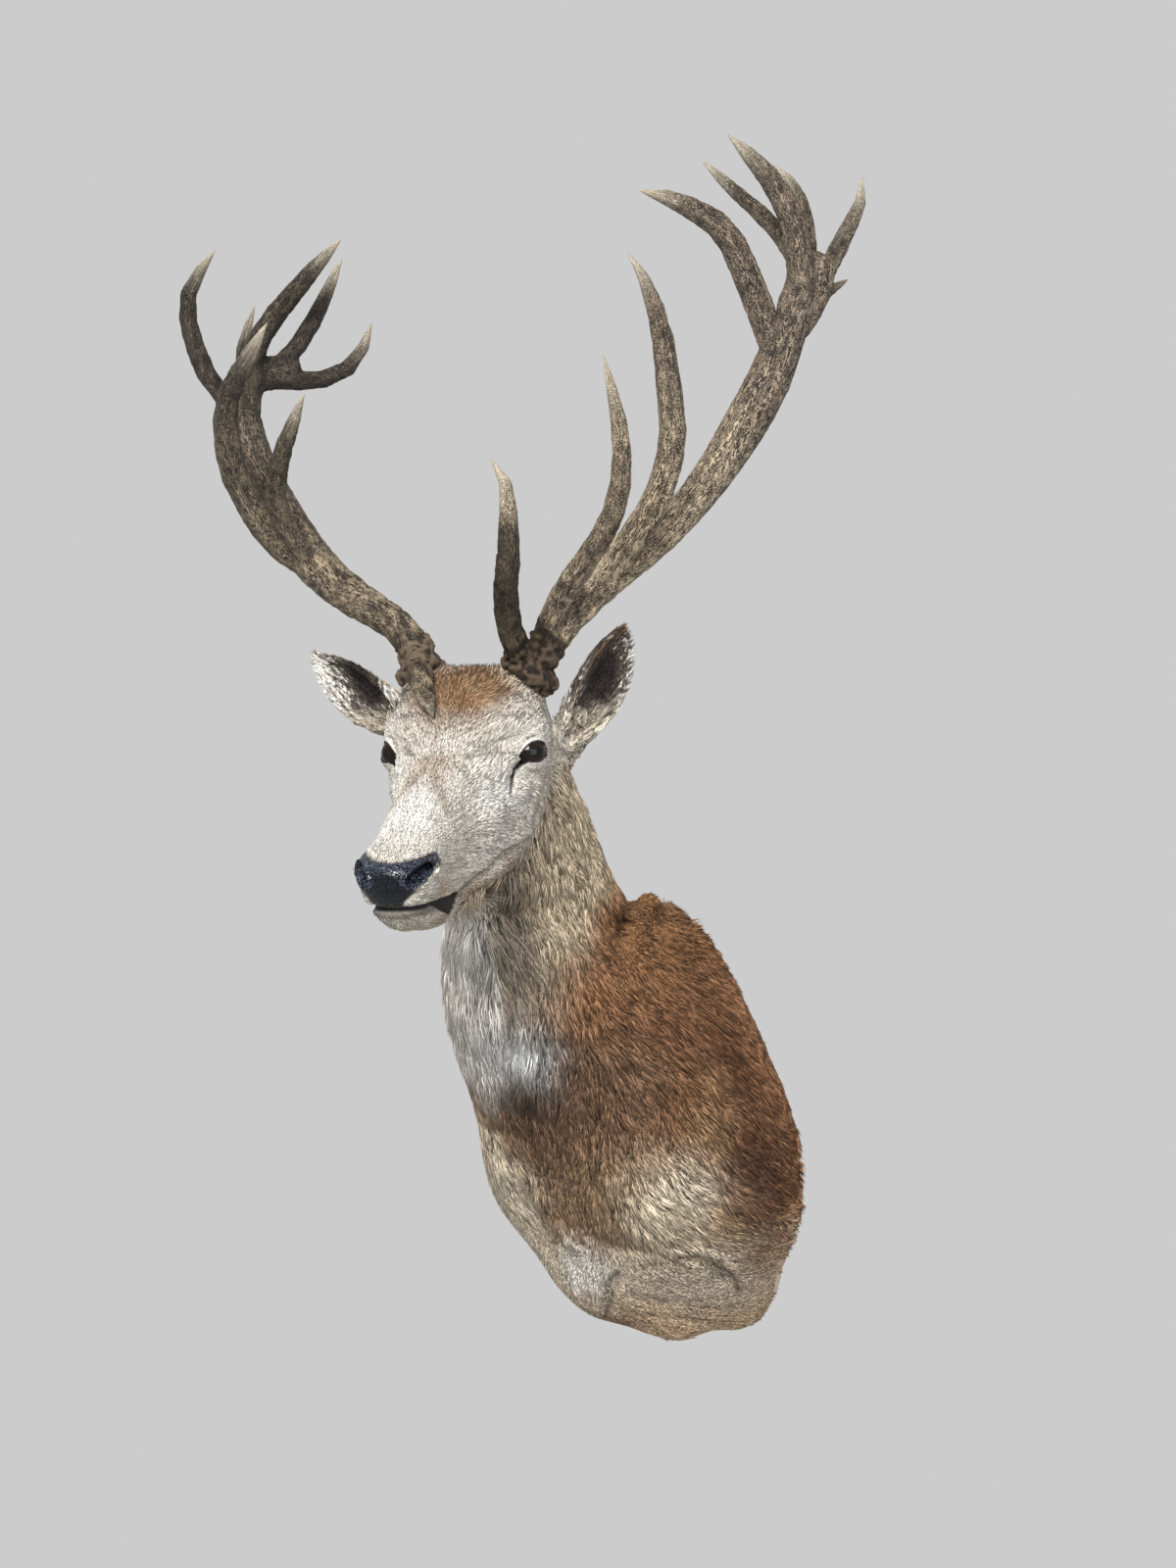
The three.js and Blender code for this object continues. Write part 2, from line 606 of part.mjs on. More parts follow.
// The mouth is a narrow opening that widens to a dark corner.
const mouthProfile = new THREE.Shape([
  [270, -120.5], [150, -120], [134, -119], [126, -124], [131, -131], [144, -134], [164, -123.5],
  [270, -122.5],
].map(([y, z]) => new THREE.Vector2(y, z)));
const mouthGeometry = new THREE.ExtrudeGeometry(mouthProfile, { depth: 140, bevelEnabled: false });
mouthGeometry.applyMatrix4(new THREE.Matrix4().makeBasis(
  headWay(0, 1, 0), headWay(0, 0, 1), headWay(-1, 0, 0)));
mouthGeometry.translate(...onHead(70, 0, 0).toArray());
const mouth = solid(mouthGeometry);

/** The space of the muzzle tip, from a plane across it down or up to a level of the head. */
const headBox = new THREE.BoxGeometry(700, 700, 700).translate(...EYE_LINE.toArray());
function muzzleSpace(way, at, upright, level, grow) {
  return keep(keep(solid(headBox), headWay(...way), onHead(...at), -grow),
    headWay(0, 0, upright), onHead(0, 0, level), -grow);
}

const noseSpace = (grow) => muzzleSpace([0, 1, 0.1], [0, 216, -76], 1, -118.5, grow);
const jawSpace = (grow) => muzzleSpace([0, 1, 0], [0, 130, -128], -1, -121.5, grow);
const sockets = join([1, -1].map((s) => solid(eyeBall(s, GAP))));
const openHead = fleshHead.subtract(sockets).subtract(mouth);
const headSolid = openHead.subtract(noseSpace(GAP / 2)).subtract(jawSpace(GAP / 2));
const noseSolid = openHead.intersect(noseSpace(-GAP / 2));
const jawSolid = openHead.intersect(jawSpace(-GAP / 2));

add('head', headSolid, FACE_HAIR);
add('nose_pad', noseSolid, NOSE_SKIN);
add('lower_jaw', jawSolid, FACE_HAIR);
for (const [name, s] of [['left', 1], ['right', -1]]) {
  add(`eye_${name}`, eyeBall(s, 0), EYE_GLASS);
}
const headSpace = join([
  solid(loft(between(HEAD_ROWS, 20).map((row, i) => {
    const roomy = row.slice();
    if (i === 0) roomy[0] -= 2 * GAP;
    return headRing(roomy, 2 * GAP);
  }))), ...pedicles(GAP),
]);
for (const [name, make] of Object.entries(ears)) {
  add(`ear_${name}`, make().subtract(headSpace).subtract(antlerSpace), EAR_HAIR);
}

// Trunk: cut round the board, then across below the neck and above the brisket.
const boardOutline = (inset) => {
  const points = [];
  const steps = 20;
  const low = BOARD_LOW - (BOARD_RIM - inset);
  const high = BOARD_HIGH + (BOARD_RIM - inset);
  for (let i = 0; i <= steps; i += 1) {
    const z = low + (high - low) * (0.5 - 0.5 * Math.cos(Math.PI * i / steps));
    points.push(new THREE.Vector2(wallHalfWidth(z) - inset, z));
  }
  const mirrored = points.slice().reverse().map((p) => new THREE.Vector2(-p.x, p.y));
  return new THREE.Shape([...points, ...mirrored]);
};
const slab = (inset, depth) => {
  const geometry = new THREE.ExtrudeGeometry(boardOutline(inset),
    { depth, bevelEnabled: false });
  geometry.rotateX(Math.PI / 2);
  return geometry;
};
const earSpace = join(Object.values(ears).map((make) => make()));
const bodyCut = bodySolid.subtract(headSpace)
  .subtract(solid(slab(BOARD_RIM - GAP, BOARD_THICKNESS + GAP).translate(0, 0.05, 0)))
  .subtract(earSpace);
const neckWay = new THREE.Vector3(0, -0.42, 0.9).normalize();
const neckPoint = new THREE.Vector3(0, -330, 96);
const brisketWay = new THREE.Vector3(0, 0, -1);
const brisketPoint = new THREE.Vector3(0, 0, -168);
add('neck', keep(bodyCut, neckWay, neckPoint, GAP / 2), NECK_HAIR);
add('shoulders', keep(keep(bodyCut, neckWay.clone().negate(), neckPoint, GAP / 2),
  brisketWay.clone().negate(), brisketPoint, GAP / 2), BODY_HAIR);
add('brisket', keep(bodyCut, brisketWay, brisketPoint, GAP / 2), BODY_HAIR);

// Back board with a pocket for the keyhole plate.
const PLATE = { width: 44, height: 96, thickness: 2, level: 60 };
const POCKET = 4.6;
const box = (w, d, h, x, y, z) => {
  const geometry = new THREE.BoxGeometry(w, d, h);
  geometry.translate(x, y, z);
  return solid(geometry);
};
const rod = (radius, length, x, y, z, sides = 20) => {
  const geometry = new THREE.CylinderGeometry(radius, radius, length, sides);
  geometry.translate(x, y, z);
  return solid(geometry);
};
const pocket = box(PLATE.width + 2 * GAP, 2 * POCKET, PLATE.height + 2 * GAP, 0, 0, PLATE.level)
  .add(rod(13, 24, 0, 0, PLATE.level - 8)).add(box(14, 24, 34, 0, 0, PLATE.level + 8));
add('back_board', solid(slab(BOARD_RIM, BOARD_THICKNESS)).subtract(pocket), WOOD);
const plateMiddle = -(POCKET - GAP) + PLATE.thickness / 2;
const keyhole = rod(9, 10, 0, plateMiddle, PLATE.level - 8)
  .add(box(9, 10, 30, 0, plateMiddle, PLATE.level + 6));
add('hanger_plate', box(PLATE.width, PLATE.thickness, PLATE.height, 0, plateMiddle, PLATE.level)
  .subtract(keyhole), STEEL);
for (const [name, dz] of [['upper', 38], ['lower', -38]]) {
  add(`hanger_screw_${name}`,
    rod(4.5, 1.4, 0, plateMiddle + PLATE.thickness / 2 + GAP + 0.7, PLATE.level + dz, 14), STEEL);
}

export default mount;
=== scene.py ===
"""A red deer stag shoulder mount: one skin, its coat, antlers, eyes, back board and hanger."""

import heapq
import logging
import math
from dataclasses import dataclass, field
from enum import Enum
from typing import Callable, Iterable, Sequence

import bpy
import numpy as np
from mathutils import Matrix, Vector
from mathutils.kdtree import KDTree


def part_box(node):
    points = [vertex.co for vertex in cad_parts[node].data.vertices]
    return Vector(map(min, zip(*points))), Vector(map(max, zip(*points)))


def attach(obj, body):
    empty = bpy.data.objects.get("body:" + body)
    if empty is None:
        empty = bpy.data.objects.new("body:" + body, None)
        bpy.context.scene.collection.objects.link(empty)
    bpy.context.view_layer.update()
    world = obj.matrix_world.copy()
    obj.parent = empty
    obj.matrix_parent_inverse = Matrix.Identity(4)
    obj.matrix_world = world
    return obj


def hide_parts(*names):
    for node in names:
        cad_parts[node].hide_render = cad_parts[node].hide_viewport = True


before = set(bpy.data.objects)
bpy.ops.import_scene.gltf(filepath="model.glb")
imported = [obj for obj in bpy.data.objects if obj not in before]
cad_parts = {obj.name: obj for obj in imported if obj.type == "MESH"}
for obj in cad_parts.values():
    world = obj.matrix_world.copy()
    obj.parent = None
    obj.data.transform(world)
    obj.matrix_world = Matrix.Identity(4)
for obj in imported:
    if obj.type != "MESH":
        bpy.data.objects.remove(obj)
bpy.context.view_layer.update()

LOG = logging.getLogger("stag_mount")
MM = 0.001
BODY = "root"
Array = np.ndarray
Piece = bpy.types.Object
Material = bpy.types.Material
Colour = tuple[float, float, float]
Spot = tuple[float, float, float]
Line = Sequence[Spot]


class Slot(Enum):
    """The record's material slots."""

    ANTLER = "antler"
    HEAD_HAIR = "head_hair"
    BODY_HAIR = "body_hair"
    EYE = "eye_glass"
    STEEL = "hanger_steel"


def srgb(red: int, green: int, blue: int) -> Colour:
    """A colour named by its screen values, as linear light."""
    value = np.array([red, green, blue]) / 255.0
    return tuple(np.where(value <= 0.04045, value / 12.92, ((value + 0.055) / 1.055) ** 2.4))


# ---- sums on many points
def smooth_step(low: float, high: float, value: Array) -> Array:
    """Goes smoothly from 0 at low to 1 at high."""
    t = np.clip((value - low) / (high - low), 0.0, 1.0)
    return t * t * (3.0 - 2.0 * t)


def unit(vectors: Array) -> Array:
    """The vectors at length one."""
    return vectors / np.maximum(np.linalg.norm(vectors, axis=-1, keepdims=True), 1e-9)


def dot(a: Array, b: Array) -> Array:
    """The dot product of each pair of vectors."""
    return (a * b).sum(axis=-1)


def toward(value: Array | float, goal: Array | float, share: Array) -> Array:
    """Values moved towards a goal by a share of the gap."""
    return value + (goal - value) * share


def bell(gap: Array) -> Array:
    """A bell curve, 1 at no gap and small beyond 2."""
    return np.exp(-(gap**2))


def bump_at(points: Array, centre: Spot, reach: Spot) -> Array:
    """A soft bump of height one.

    Args:
        points: Places, in millimetres.
        centre: The middle of the bump.
        reach: Its radius along each axis.

    Returns:
        The height at each point.
    """
    gap = (points - np.asarray(centre, float)) / np.asarray(reach, float)
    return np.exp(-dot(gap, gap))


def along_line(points: Array, line: Line, flat: float = 1.0) -> tuple[Array, Array]:
    """Finds how near each point is to an open line.

    Args:
        points: Places, in millimetres.
        line: The line's corners.
        flat: How much a gap along the first axis counts, less than 1 for a line seen from that side.

    Returns:
        The distance to the line, and the share of its length at the nearest place.
    """
    corners = np.asarray(line, float) * (flat, 1, 1)
    points = points * (flat, 1, 1)
    lengths = np.linalg.norm(np.diff(corners, axis=0), axis=1)
    starts = np.concatenate([[0.0], np.cumsum(lengths)])
    best = np.full(len(points), np.inf)
    share = np.zeros(len(points))
    for i, length in enumerate(lengths):
        way = (corners[i + 1] - corners[i]) / length
        t = np.clip(dot(points - corners[i], way), 0.0, length)
        gap = np.linalg.norm(points - corners[i] - t[:, None] * way, axis=1)
        nearer = gap < best
        best[nearer] = gap[nearer]
        share[nearer] = (starts[i] + t[nearer]) / starts[-1]
    return best, share


def laid_on(points: Array, line: Line) -> Array:
    """The line's corners, each moved to the nearest of the points."""
    corners = np.asarray(line, float)
    return points[[np.linalg.norm(points - corner, axis=1).argmin() for corner in corners]]


class Noise:
    """Smooth random values in space, the same in each run."""

    CELLS = 64

    def __init__(self, seed: int) -> None:
        """Fills the lattice.

        Args:
            seed: The number that settles the pattern.
        """
        self.lattice = np.random.default_rng(seed).uniform(-1.0, 1.0, (self.CELLS,) * 3)

    def at(self, points: Array, size: float) -> Array:
        """The noise at each point.

        Args:
            points: Places, in millimetres.
            size: The size of its lumps, in millimetres.

        Returns:
            Values from -1 to 1.
        """
        place = np.asarray(points) / size
        cell = np.floor(place).astype(int)
        share = place - cell
        share = share * share * (3.0 - 2.0 * share)
        total = np.zeros(len(place))
        for dx in (0, 1):
            for dy in (0, 1):
                for dz in (0, 1):
                    corner = (cell + (dx, dy, dz)) % self.CELLS
                    weight = np.abs(1 - dx - share[:, 0]) * np.abs(1 - dy - share[:, 1])
                    weight = weight * np.abs(1 - dz - share[:, 2])
                    total += weight * self.lattice[corner[:, 0], corner[:, 1], corner[:, 2]]
        return total

    def layers(self, points: Array, size: float, count: int = 3) -> Array:
        """Noise with finer layers on top, each half the size and height of the last."""
        return sum(self.at(points, size / 2**i) * 0.5**i for i in range(count))


# ---- the head's own frame
class HeadFrame:
    """The frame between the eyes: x to the stag's left, y to the nose, z up, in millimetres."""

    NOD = math.radians(4)
    EYE_FORWARD = 5.0
    EYE_ABOVE = 4.0
    EYE_OFFSET = 1.5

    def __init__(self) -> None:
        """Finds the frame from the two eyes."""
        left, right = (self._middle(name) for name in ("eye_left", "eye_right"))
        turn = math.atan2(left[1] - right[1], left[0] - right[0])
        cos_turn, sin_turn = math.cos(turn), math.sin(turn)
        cos_nod, sin_nod = math.cos(self.NOD), math.sin(self.NOD)
        side = np.array([cos_turn, sin_turn, 0.0])
        nose = np.array([sin_turn * cos_nod, -cos_turn * cos_nod, -sin_nod])
        up = np.array([sin_turn * sin_nod, -cos_turn * sin_nod, cos_nod])
        self.axes = np.stack([side, nose, up])
        offset = np.array([self.EYE_OFFSET, self.EYE_FORWARD, self.EYE_ABOVE])
        self.origin = (left + right) / 2 - offset @ self.axes
        self.eye_spread = float(np.linalg.norm(left - right) / 2)

    @staticmethod
    def _middle(node: str) -> Array:
        """The middle of a node's box, in millimetres."""
        low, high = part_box(node)
        return np.array((low + high) / 2) / MM

    def local(self, points: Array) -> Array:
        """Places of the mount in the head's frame."""
        return (np.asarray(points, float) - self.origin) @ self.axes.T

    def place(self, points: Array) -> Array:
        """Places of the head in the mount's frame."""
        return np.asarray(points, float) @ self.axes + self.origin

    def way(self, vectors: Array) -> Array:
        """Directions of the head in the mount's frame."""
        return np.asarray(vectors, float) @ self.axes

    def local_way(self, vectors: Array) -> Array:
        """Directions of the mount in the head's frame."""
        return np.asarray(vectors, float) @ self.axes.T

    def eye(self, side: int) -> Array:
        """The middle of an eyeball in the head's frame, 1 for left and -1 for right."""
        x = side * self.eye_spread + self.EYE_OFFSET
        return np.array([x, self.EYE_FORWARD, self.EYE_ABOVE])


HEAD = HeadFrame()


# ---- mesh helpers
def read_all(items: Sequence, name: str, width: int, kind: type = float) -> Array:
    """Reads one property of every item of a mesh at once.

    Args:
        items: The mesh's vertices, edges or triangles.
        name: The property's name.
        width: How many numbers it has.
        kind: Their type.

    Returns:
        One row for each item.
    """
    flat = np.empty(len(items) * width, dtype=kind)
    items.foreach_get(name, flat)
    return flat.reshape(-1, width)


def points_of(obj: Piece) -> Array:
    """The vertices of a mesh, in millimetres."""
    return read_all(obj.data.vertices, "co", 3) / MM


def set_points(obj: Piece, points: Array) -> None:
    """Moves the vertices of a mesh to places in millimetres."""
    obj.data.vertices.foreach_set("co", (points * MM).ravel())
    obj.data.update()


def normals_of(obj: Piece) -> Array:
    """The normal at each vertex of a mesh."""
    return read_all(obj.data.vertex_normals, "vector", 3)


def triangles_of(obj: Piece) -> Array:
    """The three vertices of each triangle of a mesh."""
    obj.data.calc_loop_triangles()
    return read_all(obj.data.loop_triangles, "vertices", 3, np.int32)


def edges_of(obj: Piece) -> Array:
    """The two vertices of each edge of a mesh."""
    return read_all(obj.data.edges, "vertices", 2, np.int32)


def edge_mean(edges: Array, values: Array, weights: Array | float = 1.0) -> Array:
    """Each vertex's mean over its neighbours.

    Args:
        edges: The two vertices of each edge.
        values: One value, or one row of values, at each vertex.
        weights: How much each edge carries.

    Returns:
        The weighted means, in the shape of values.
    """
    weights = np.broadcast_to(weights, len(edges))
    columns = values.reshape(len(values), -1)
    start, end = edges[:, 0], edges[:, 1]
    count = len(values)
    total = np.bincount(start, weights, count) + np.bincount(end, weights, count)
    total = np.maximum(total, 1e-9)
    out = np.empty_like(columns)
    for i, column in enumerate(columns.T):
        out[:, i] = np.bincount(start, weights * column[end], count)
        out[:, i] += np.bincount(end, weights * column[start], count)
        out[:, i] /= total
    return out.reshape(values.shape)


def put(obj: Piece, name: str, values: Array) -> None:
    """Stores one number, or one colour, at each vertex.

    Args:
        obj: The piece.
        name: The attribute's name.
        values: A list of numbers, or rows of red, green and blue.
    """
    if values.ndim == 1:
        layer = obj.data.attributes.new(name, "FLOAT", "POINT")
        layer.data.foreach_set("value", values.astype(np.float32))
        return
    layer = obj.data.attributes.new(name, "FLOAT_COLOR", "POINT")
    rgba = np.ones((len(values), 4), np.float32)
    rgba[:, :3] = values
    layer.data.foreach_set("color", rgba.ravel())


def clear_selection() -> None:
    """Deselects everything."""
    bpy.ops.object.select_all(action="DESELECT")


def make_active(obj: Piece) -> None:
    """Selects one object alone and makes it active.

    Args:
        obj: The object.
    """
    clear_selection()
    obj.select_set(True)
    bpy.context.view_layer.objects.active = obj


def edit(obj: Piece, *steps: Callable[[], object]) -> None:
    """Runs steps in edit mode with all of the mesh selected.

    Args:
        obj: The piece.
        *steps: What to do there, one after the other.
    """
    make_active(obj)
    bpy.ops.object.mode_set(mode="EDIT")
    bpy.ops.mesh.select_all(action="SELECT")
    for step in steps:
        step()
    bpy.ops.object.mode_set(mode="OBJECT")


def modify(obj: Piece, kind: str, **settings: object) -> None:
    """Adds a modifier and applies it.

    Args:
        obj: The piece.
        kind: The modifier's type.
        **settings: Its settings.
    """
    make_active(obj)
    modifier = obj.modifiers.new(kind.lower(), kind)
    for name, value in settings.items():
        setattr(modifier, name, value)
    bpy.ops.object.modifier_apply(modifier=modifier.name)


def joined_copy(name: str, nodes: Iterable[str], grow: float = 0.2) -> Piece:
    """One mesh from copies of CAD nodes.

    Args:
        name: The new piece's name.
        nodes: The CAD nodes to copy.
        grow: How far each is swelled, in millimetres, so that their gaps close.

    Returns:
        The new piece.
    """
    copies = []
    for node in nodes:
        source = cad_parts[node]
        copy = bpy.data.objects.new(name, source.data.copy())
        bpy.context.scene.collection.objects.link(copy)
        copy.data.materials.clear()
        edit(
            copy,
            lambda: bpy.ops.mesh.remove_doubles(threshold=0.00001),
            lambda: bpy.ops.transform.shrink_fatten(value=grow * MM),
        )
        copies.append(copy)
    clear_selection()
    for copy in copies:
        copy.select_set(True)
    bpy.context.view_layer.objects.active = copies[0]
    bpy.ops.object.join()
    copies[0].name = name
    copies[0].data.name = name
    return copies[0]


def mesh_object(name: str, points: Array, faces: Array) -> Piece:
    """A mesh from arrays.

    Args:
        name: The piece's name.
        points: Vertices, in millimetres.
        faces: The three vertices of each triangle.

    Returns:
        The new piece, smooth shaded.
    """
    mesh = bpy.data.meshes.new(name)
    mesh.vertices.add(len(points))
    mesh.vertices.foreach_set("co", (points * MM).astype(np.float32).ravel())
    mesh.loops.add(faces.size)
    mesh.loops.foreach_set("vertex_index", faces.astype(np.int32).ravel())
    mesh.polygons.add(len(faces))
    mesh.polygons.foreach_set("loop_start", np.arange(0, faces.size, 3, dtype=np.int32))
    mesh.polygons.foreach_set("use_smooth", np.ones(len(faces), bool))
    mesh.update(calc_edges=True)
    obj = bpy.data.objects.new(name, mesh)
    bpy.context.scene.collection.objects.link(obj)
    return obj


def hand_over(obj: Piece, material: Material, slot: Slot, *nodes: str) -> None:
    """Dresses a finished piece and hands it to the frame.

    Args:
        obj: The piece.
        material: Its finish.
        slot: The record's material slot; not used.
        *nodes: The CAD nodes that it stands for.
    """
    obj.data.materials.clear()
    obj.data.materials.append(material)
    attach(obj, BODY)
    if nodes:
        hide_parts(*nodes)
    LOG.info("%s: %d triangles", obj.name, len(triangles_of(obj)))


# ---- shader expressions
class Wire:
    """A shader socket that can be used in sums."""

    def __init__(self, shop: "Finish", socket: bpy.types.NodeSocket) -> None:
        """Keeps the socket.

        Args:
            shop: The finish whose node tree holds it.
            socket: The output to read.
        """
        self.shop = shop
        self.socket = socket

    def _sum(self, operation: str, first: object, second: object) -> "Wire":
        """A Math node on two values."""
        return self.shop.node("ShaderNodeMath", {"operation": operation}, first, second)[0]

    def __add__(self, other: object) -> "Wire":
        """self + other."""
        return self._sum("ADD", self, other)

    __radd__ = __add__

    def __mul__(self, other: object) -> "Wire":
        """self * other."""
        return self._sum("MULTIPLY", self, other)

    __rmul__ = __mul__

    def __sub__(self, other: object) -> "Wire":
        """self - other."""
        return self._sum("SUBTRACT", self, other)

    def __rsub__(self, other: object) -> "Wire":
        """other - self."""
        return self._sum("SUBTRACT", other, self)

    def __pow__(self, other: object) -> "Wire":
        """self to a power."""
        return self._sum("POWER", self, other)


class Finish:
    """A material built from nodes around one Principled shader."""

    def __init__(self, name: str, **constants: object) -> None:
        """Starts the material.

        Args:
            name: The material's name.
            **constants: Values of Principled sockets, with _ for a space.
        """
        self.material = bpy.data.materials.new(name)
        self.material.use_nodes = True
        self.tree = self.material.node_tree
        self.shader = next(n for n in self.tree.nodes if n.type == "BSDF_PRINCIPLED")
        for key, value in constants.items():
            self.shader.inputs[key.replace("_", " ")].default_value = value

    def node(self, kind: str, settings: dict[str, object], *inputs: object) -> list[Wire]:
        """Adds any node.

        Args:
            kind: The node's type.
            settings: Its settings, such as a Math node's operation.
            *inputs: Values or wires of its inputs in order, None to leave one alone.

        Returns:
            Its outputs.
        """
        made = self.tree.nodes.new(kind)
        for name, value in settings.items():
            setattr(made, name, value)
        for socket, value in zip(made.inputs, inputs):
            if isinstance(value, Wire):
                self.tree.links.new(value.socket, socket)
            elif value is not None:
                socket.default_value = value
        return [Wire(self, output) for output in made.outputs]

    def place(self) -> Wire:
        """The Object coordinates."""
        return self.node("ShaderNodeTexCoord", {})[3]

    def stretched(self, scale: Spot) -> Wire:
        """Object coordinates with each axis scaled."""
        return self.node("ShaderNodeMapping", {}, self.place(), None, None, scale)[0]

    def noise(self, scale: float, detail: float = 2.0, where: Wire | None = None) -> Wire:
        """Noise from 0 to 1."""
        where = where or self.place()
        return self.node("ShaderNodeTexNoise", {}, where, None, scale, detail)[0]

    def attribute(self, name: str) -> Wire:
        """A number stored at the vertices."""
        return self.node("ShaderNodeAttribute", {"attribute_name": name})[2]

    def colour_attribute(self, name: str) -> Wire:
        """A colour stored at the vertices."""
        return self.node("ShaderNodeAttribute", {"attribute_name": name})[0]

    def between(self, value: Wire, low: float, high: float) -> Wire:
        """Goes from 0 at low to 1 at high and stays inside."""
        settings = {"interpolation_type": "SMOOTHSTEP"}
        return self.node("ShaderNodeMapRange", settings, value, low, high)[0]

    def mix(self, share: object, first: object, second: object) -> Wire:
        """A mix of two colours, given as wires or as red, green and blue."""
        return self._colours("MIX", share, first, second)

    def tint(self, first: object, second: object) -> Wire:
        """Two colours multiplied."""
        return self._colours("MULTIPLY", 1.0, first, second)

    def _colours(self, blend: str, share: object, first: object, second: object) -> Wire:
        """A colour Mix node.

        Args:
            blend: How it blends.
            share: How much of the blend shows, as a wire or a number.
            first: The colour below, as a wire or as red, green and blue.
            second: The colour above.

        Returns:
            The blended colour.
        """
        made = self.tree.nodes.new("ShaderNodeMix")
        made.data_type = "RGBA"
        made.blend_type = blend
        for index, value in ((0, share), (6, first), (7, second)):
            if isinstance(value, Wire):
                self.tree.links.new(value.socket, made.inputs[index])
            elif index == 0:
                made.inputs[index].default_value = value
            else:
                made.inputs[index].default_value = (*value, 1.0)
        return Wire(self, made.outputs[2])

    def grey(self, value: Wire) -> Wire:
        """A number as a grey colour."""
        return self.node("ShaderNodeCombineColor", {}, value, value, value)[0]

    def colour(self, wire: Wire) -> None:
        """Sets the base colour."""
        self.tree.links.new(wire.socket, self.shader.inputs["Base Color"])

    def roughness(self, wire: Wire) -> None:
        """Sets the roughness."""
        self.tree.links.new(wire.socket, self.shader.inputs["Roughness"])

    def relief(self, *layers: tuple[Wire, float, float]) -> None:
        """Adds bumps.

        Args:
            *layers: Each a height from 0 to 1, a strength and a depth in millimetres.
        """
        normal = None
        for height, strength, depth in layers:
            bump = self.tree.nodes.new("ShaderNodeBump")
            bump.inputs["Strength"].default_value = strength
            bump.inputs["Distance"].default_value = depth * MM
            self.tree.links.new(height.socket, bump.inputs["Height"])
            if normal:
                self.tree.links.new(normal, bump.inputs["Normal"])
            normal = bump.outputs["Normal"]
        self.tree.links.new(normal, self.shader.inputs["Normal"])


# ---- the skin
BURR_PLACES = ((60.0, -48.0, 88.0), (-60.0, -48.0, 90.0))
MOUTH_LINE = ((35, 114, -126), (35, 150, -126), (34, 172, -125), (28, 196, -124), (0, 240, -124))
SIDEWAYS = 0.3
TEAR_LINE = ((70, 21, -3), (66, 27, -8), (63, 32, -13), (61, 37, -23), (60, 41, -34))
NOSTRIL = ((23, 237, -98), (30, 231, -91), (36, 223, -87))
NOSTRIL_SLIT = ((36, 209, -75), (39, 215, -80), (40, 218, -86), (38, 222, -91))
WITHERS_NOTCH = (
    (106, -178, 200), (80, -150, 225), (50, -120, 238), (20, -90, 245), (0, -72, 246), (-40, -72, 244)
)
BRISKET_FOLD = ((149, -148, -150), (166, -136, -147), (174, -122, -152), (175, -92, -174), (170, -62, -201))
KEEL_FOLD = ((68, -162, -178), (47, -152, -208), (22, -130, -238))
BRISKET_CREST = ((150, -152, -136), (170, -138, -134), (180, -118, -140), (182, -86, -164), (178, -58, -190))
BREAST_CREASE = ((40, -190, -130), (80, -176, -150), (130, -160, -140))
LOWER_CREASE = ((60, -150, -215), (100, -120, -222), (140, -80, -222))
FAR_CREASE = ((-140, -150, -140), (-165, -110, -160), (-168, -60, -200))
KEEL_HOLLOW = ((-46, -258, 6), (-40, -238, -50), (-20, -216, -100), (-4, -188, -156))
KEEL_RIDGE = ((-26, -266, 1), (-20, -234, -53), (6, -214, -99), (18, -184, -152), (37, -160, -196))
SEPTUM_LINE = ((0, 232, -84), (0, 240, -100), (0, 233, -119))
FURROW_LINE = ((66, 24, 24), (58, 34, 20), (50, 46, 17), (37, 70, 9), (22, 92, 3))
BRIDGE_LINE = ((8, 104, 4), (4, 118, -4), (14, 136, -18), (27, 154, -40))
JAW_GROOVE = (
    (68, -14, -78), (62, 11, -90), (55, 41, -97), (47, 71, -107), (39, 98, -116), (33, 120, -122)
)
JAW_EDGE = ((60, -40, -132), (48, -30, -143), (40, 10, -140), (38, 60, -134), (34, 104, -134))
CHEEK_REAR = ((82, -22, -8), (80, -6, -44), (70, -4, -80))
THROAT_TUFT = ((0, -380, 200), (90, 110, 190))
BROW_CURLS = ((0, 20, 84), (38, 32, 24))


def mirrored(points: Line, side: int) -> Array:
    """Places of the head on one side, 1 for left and -1 for right."""
    return np.asarray(points, float) * (side, 1, 1)


def on_side(local: Array, side: int, beyond: float = 30.0) -> Array:
    """Which places of the head lie farther out than that on one side."""
    return local[:, 0] * side > beyond


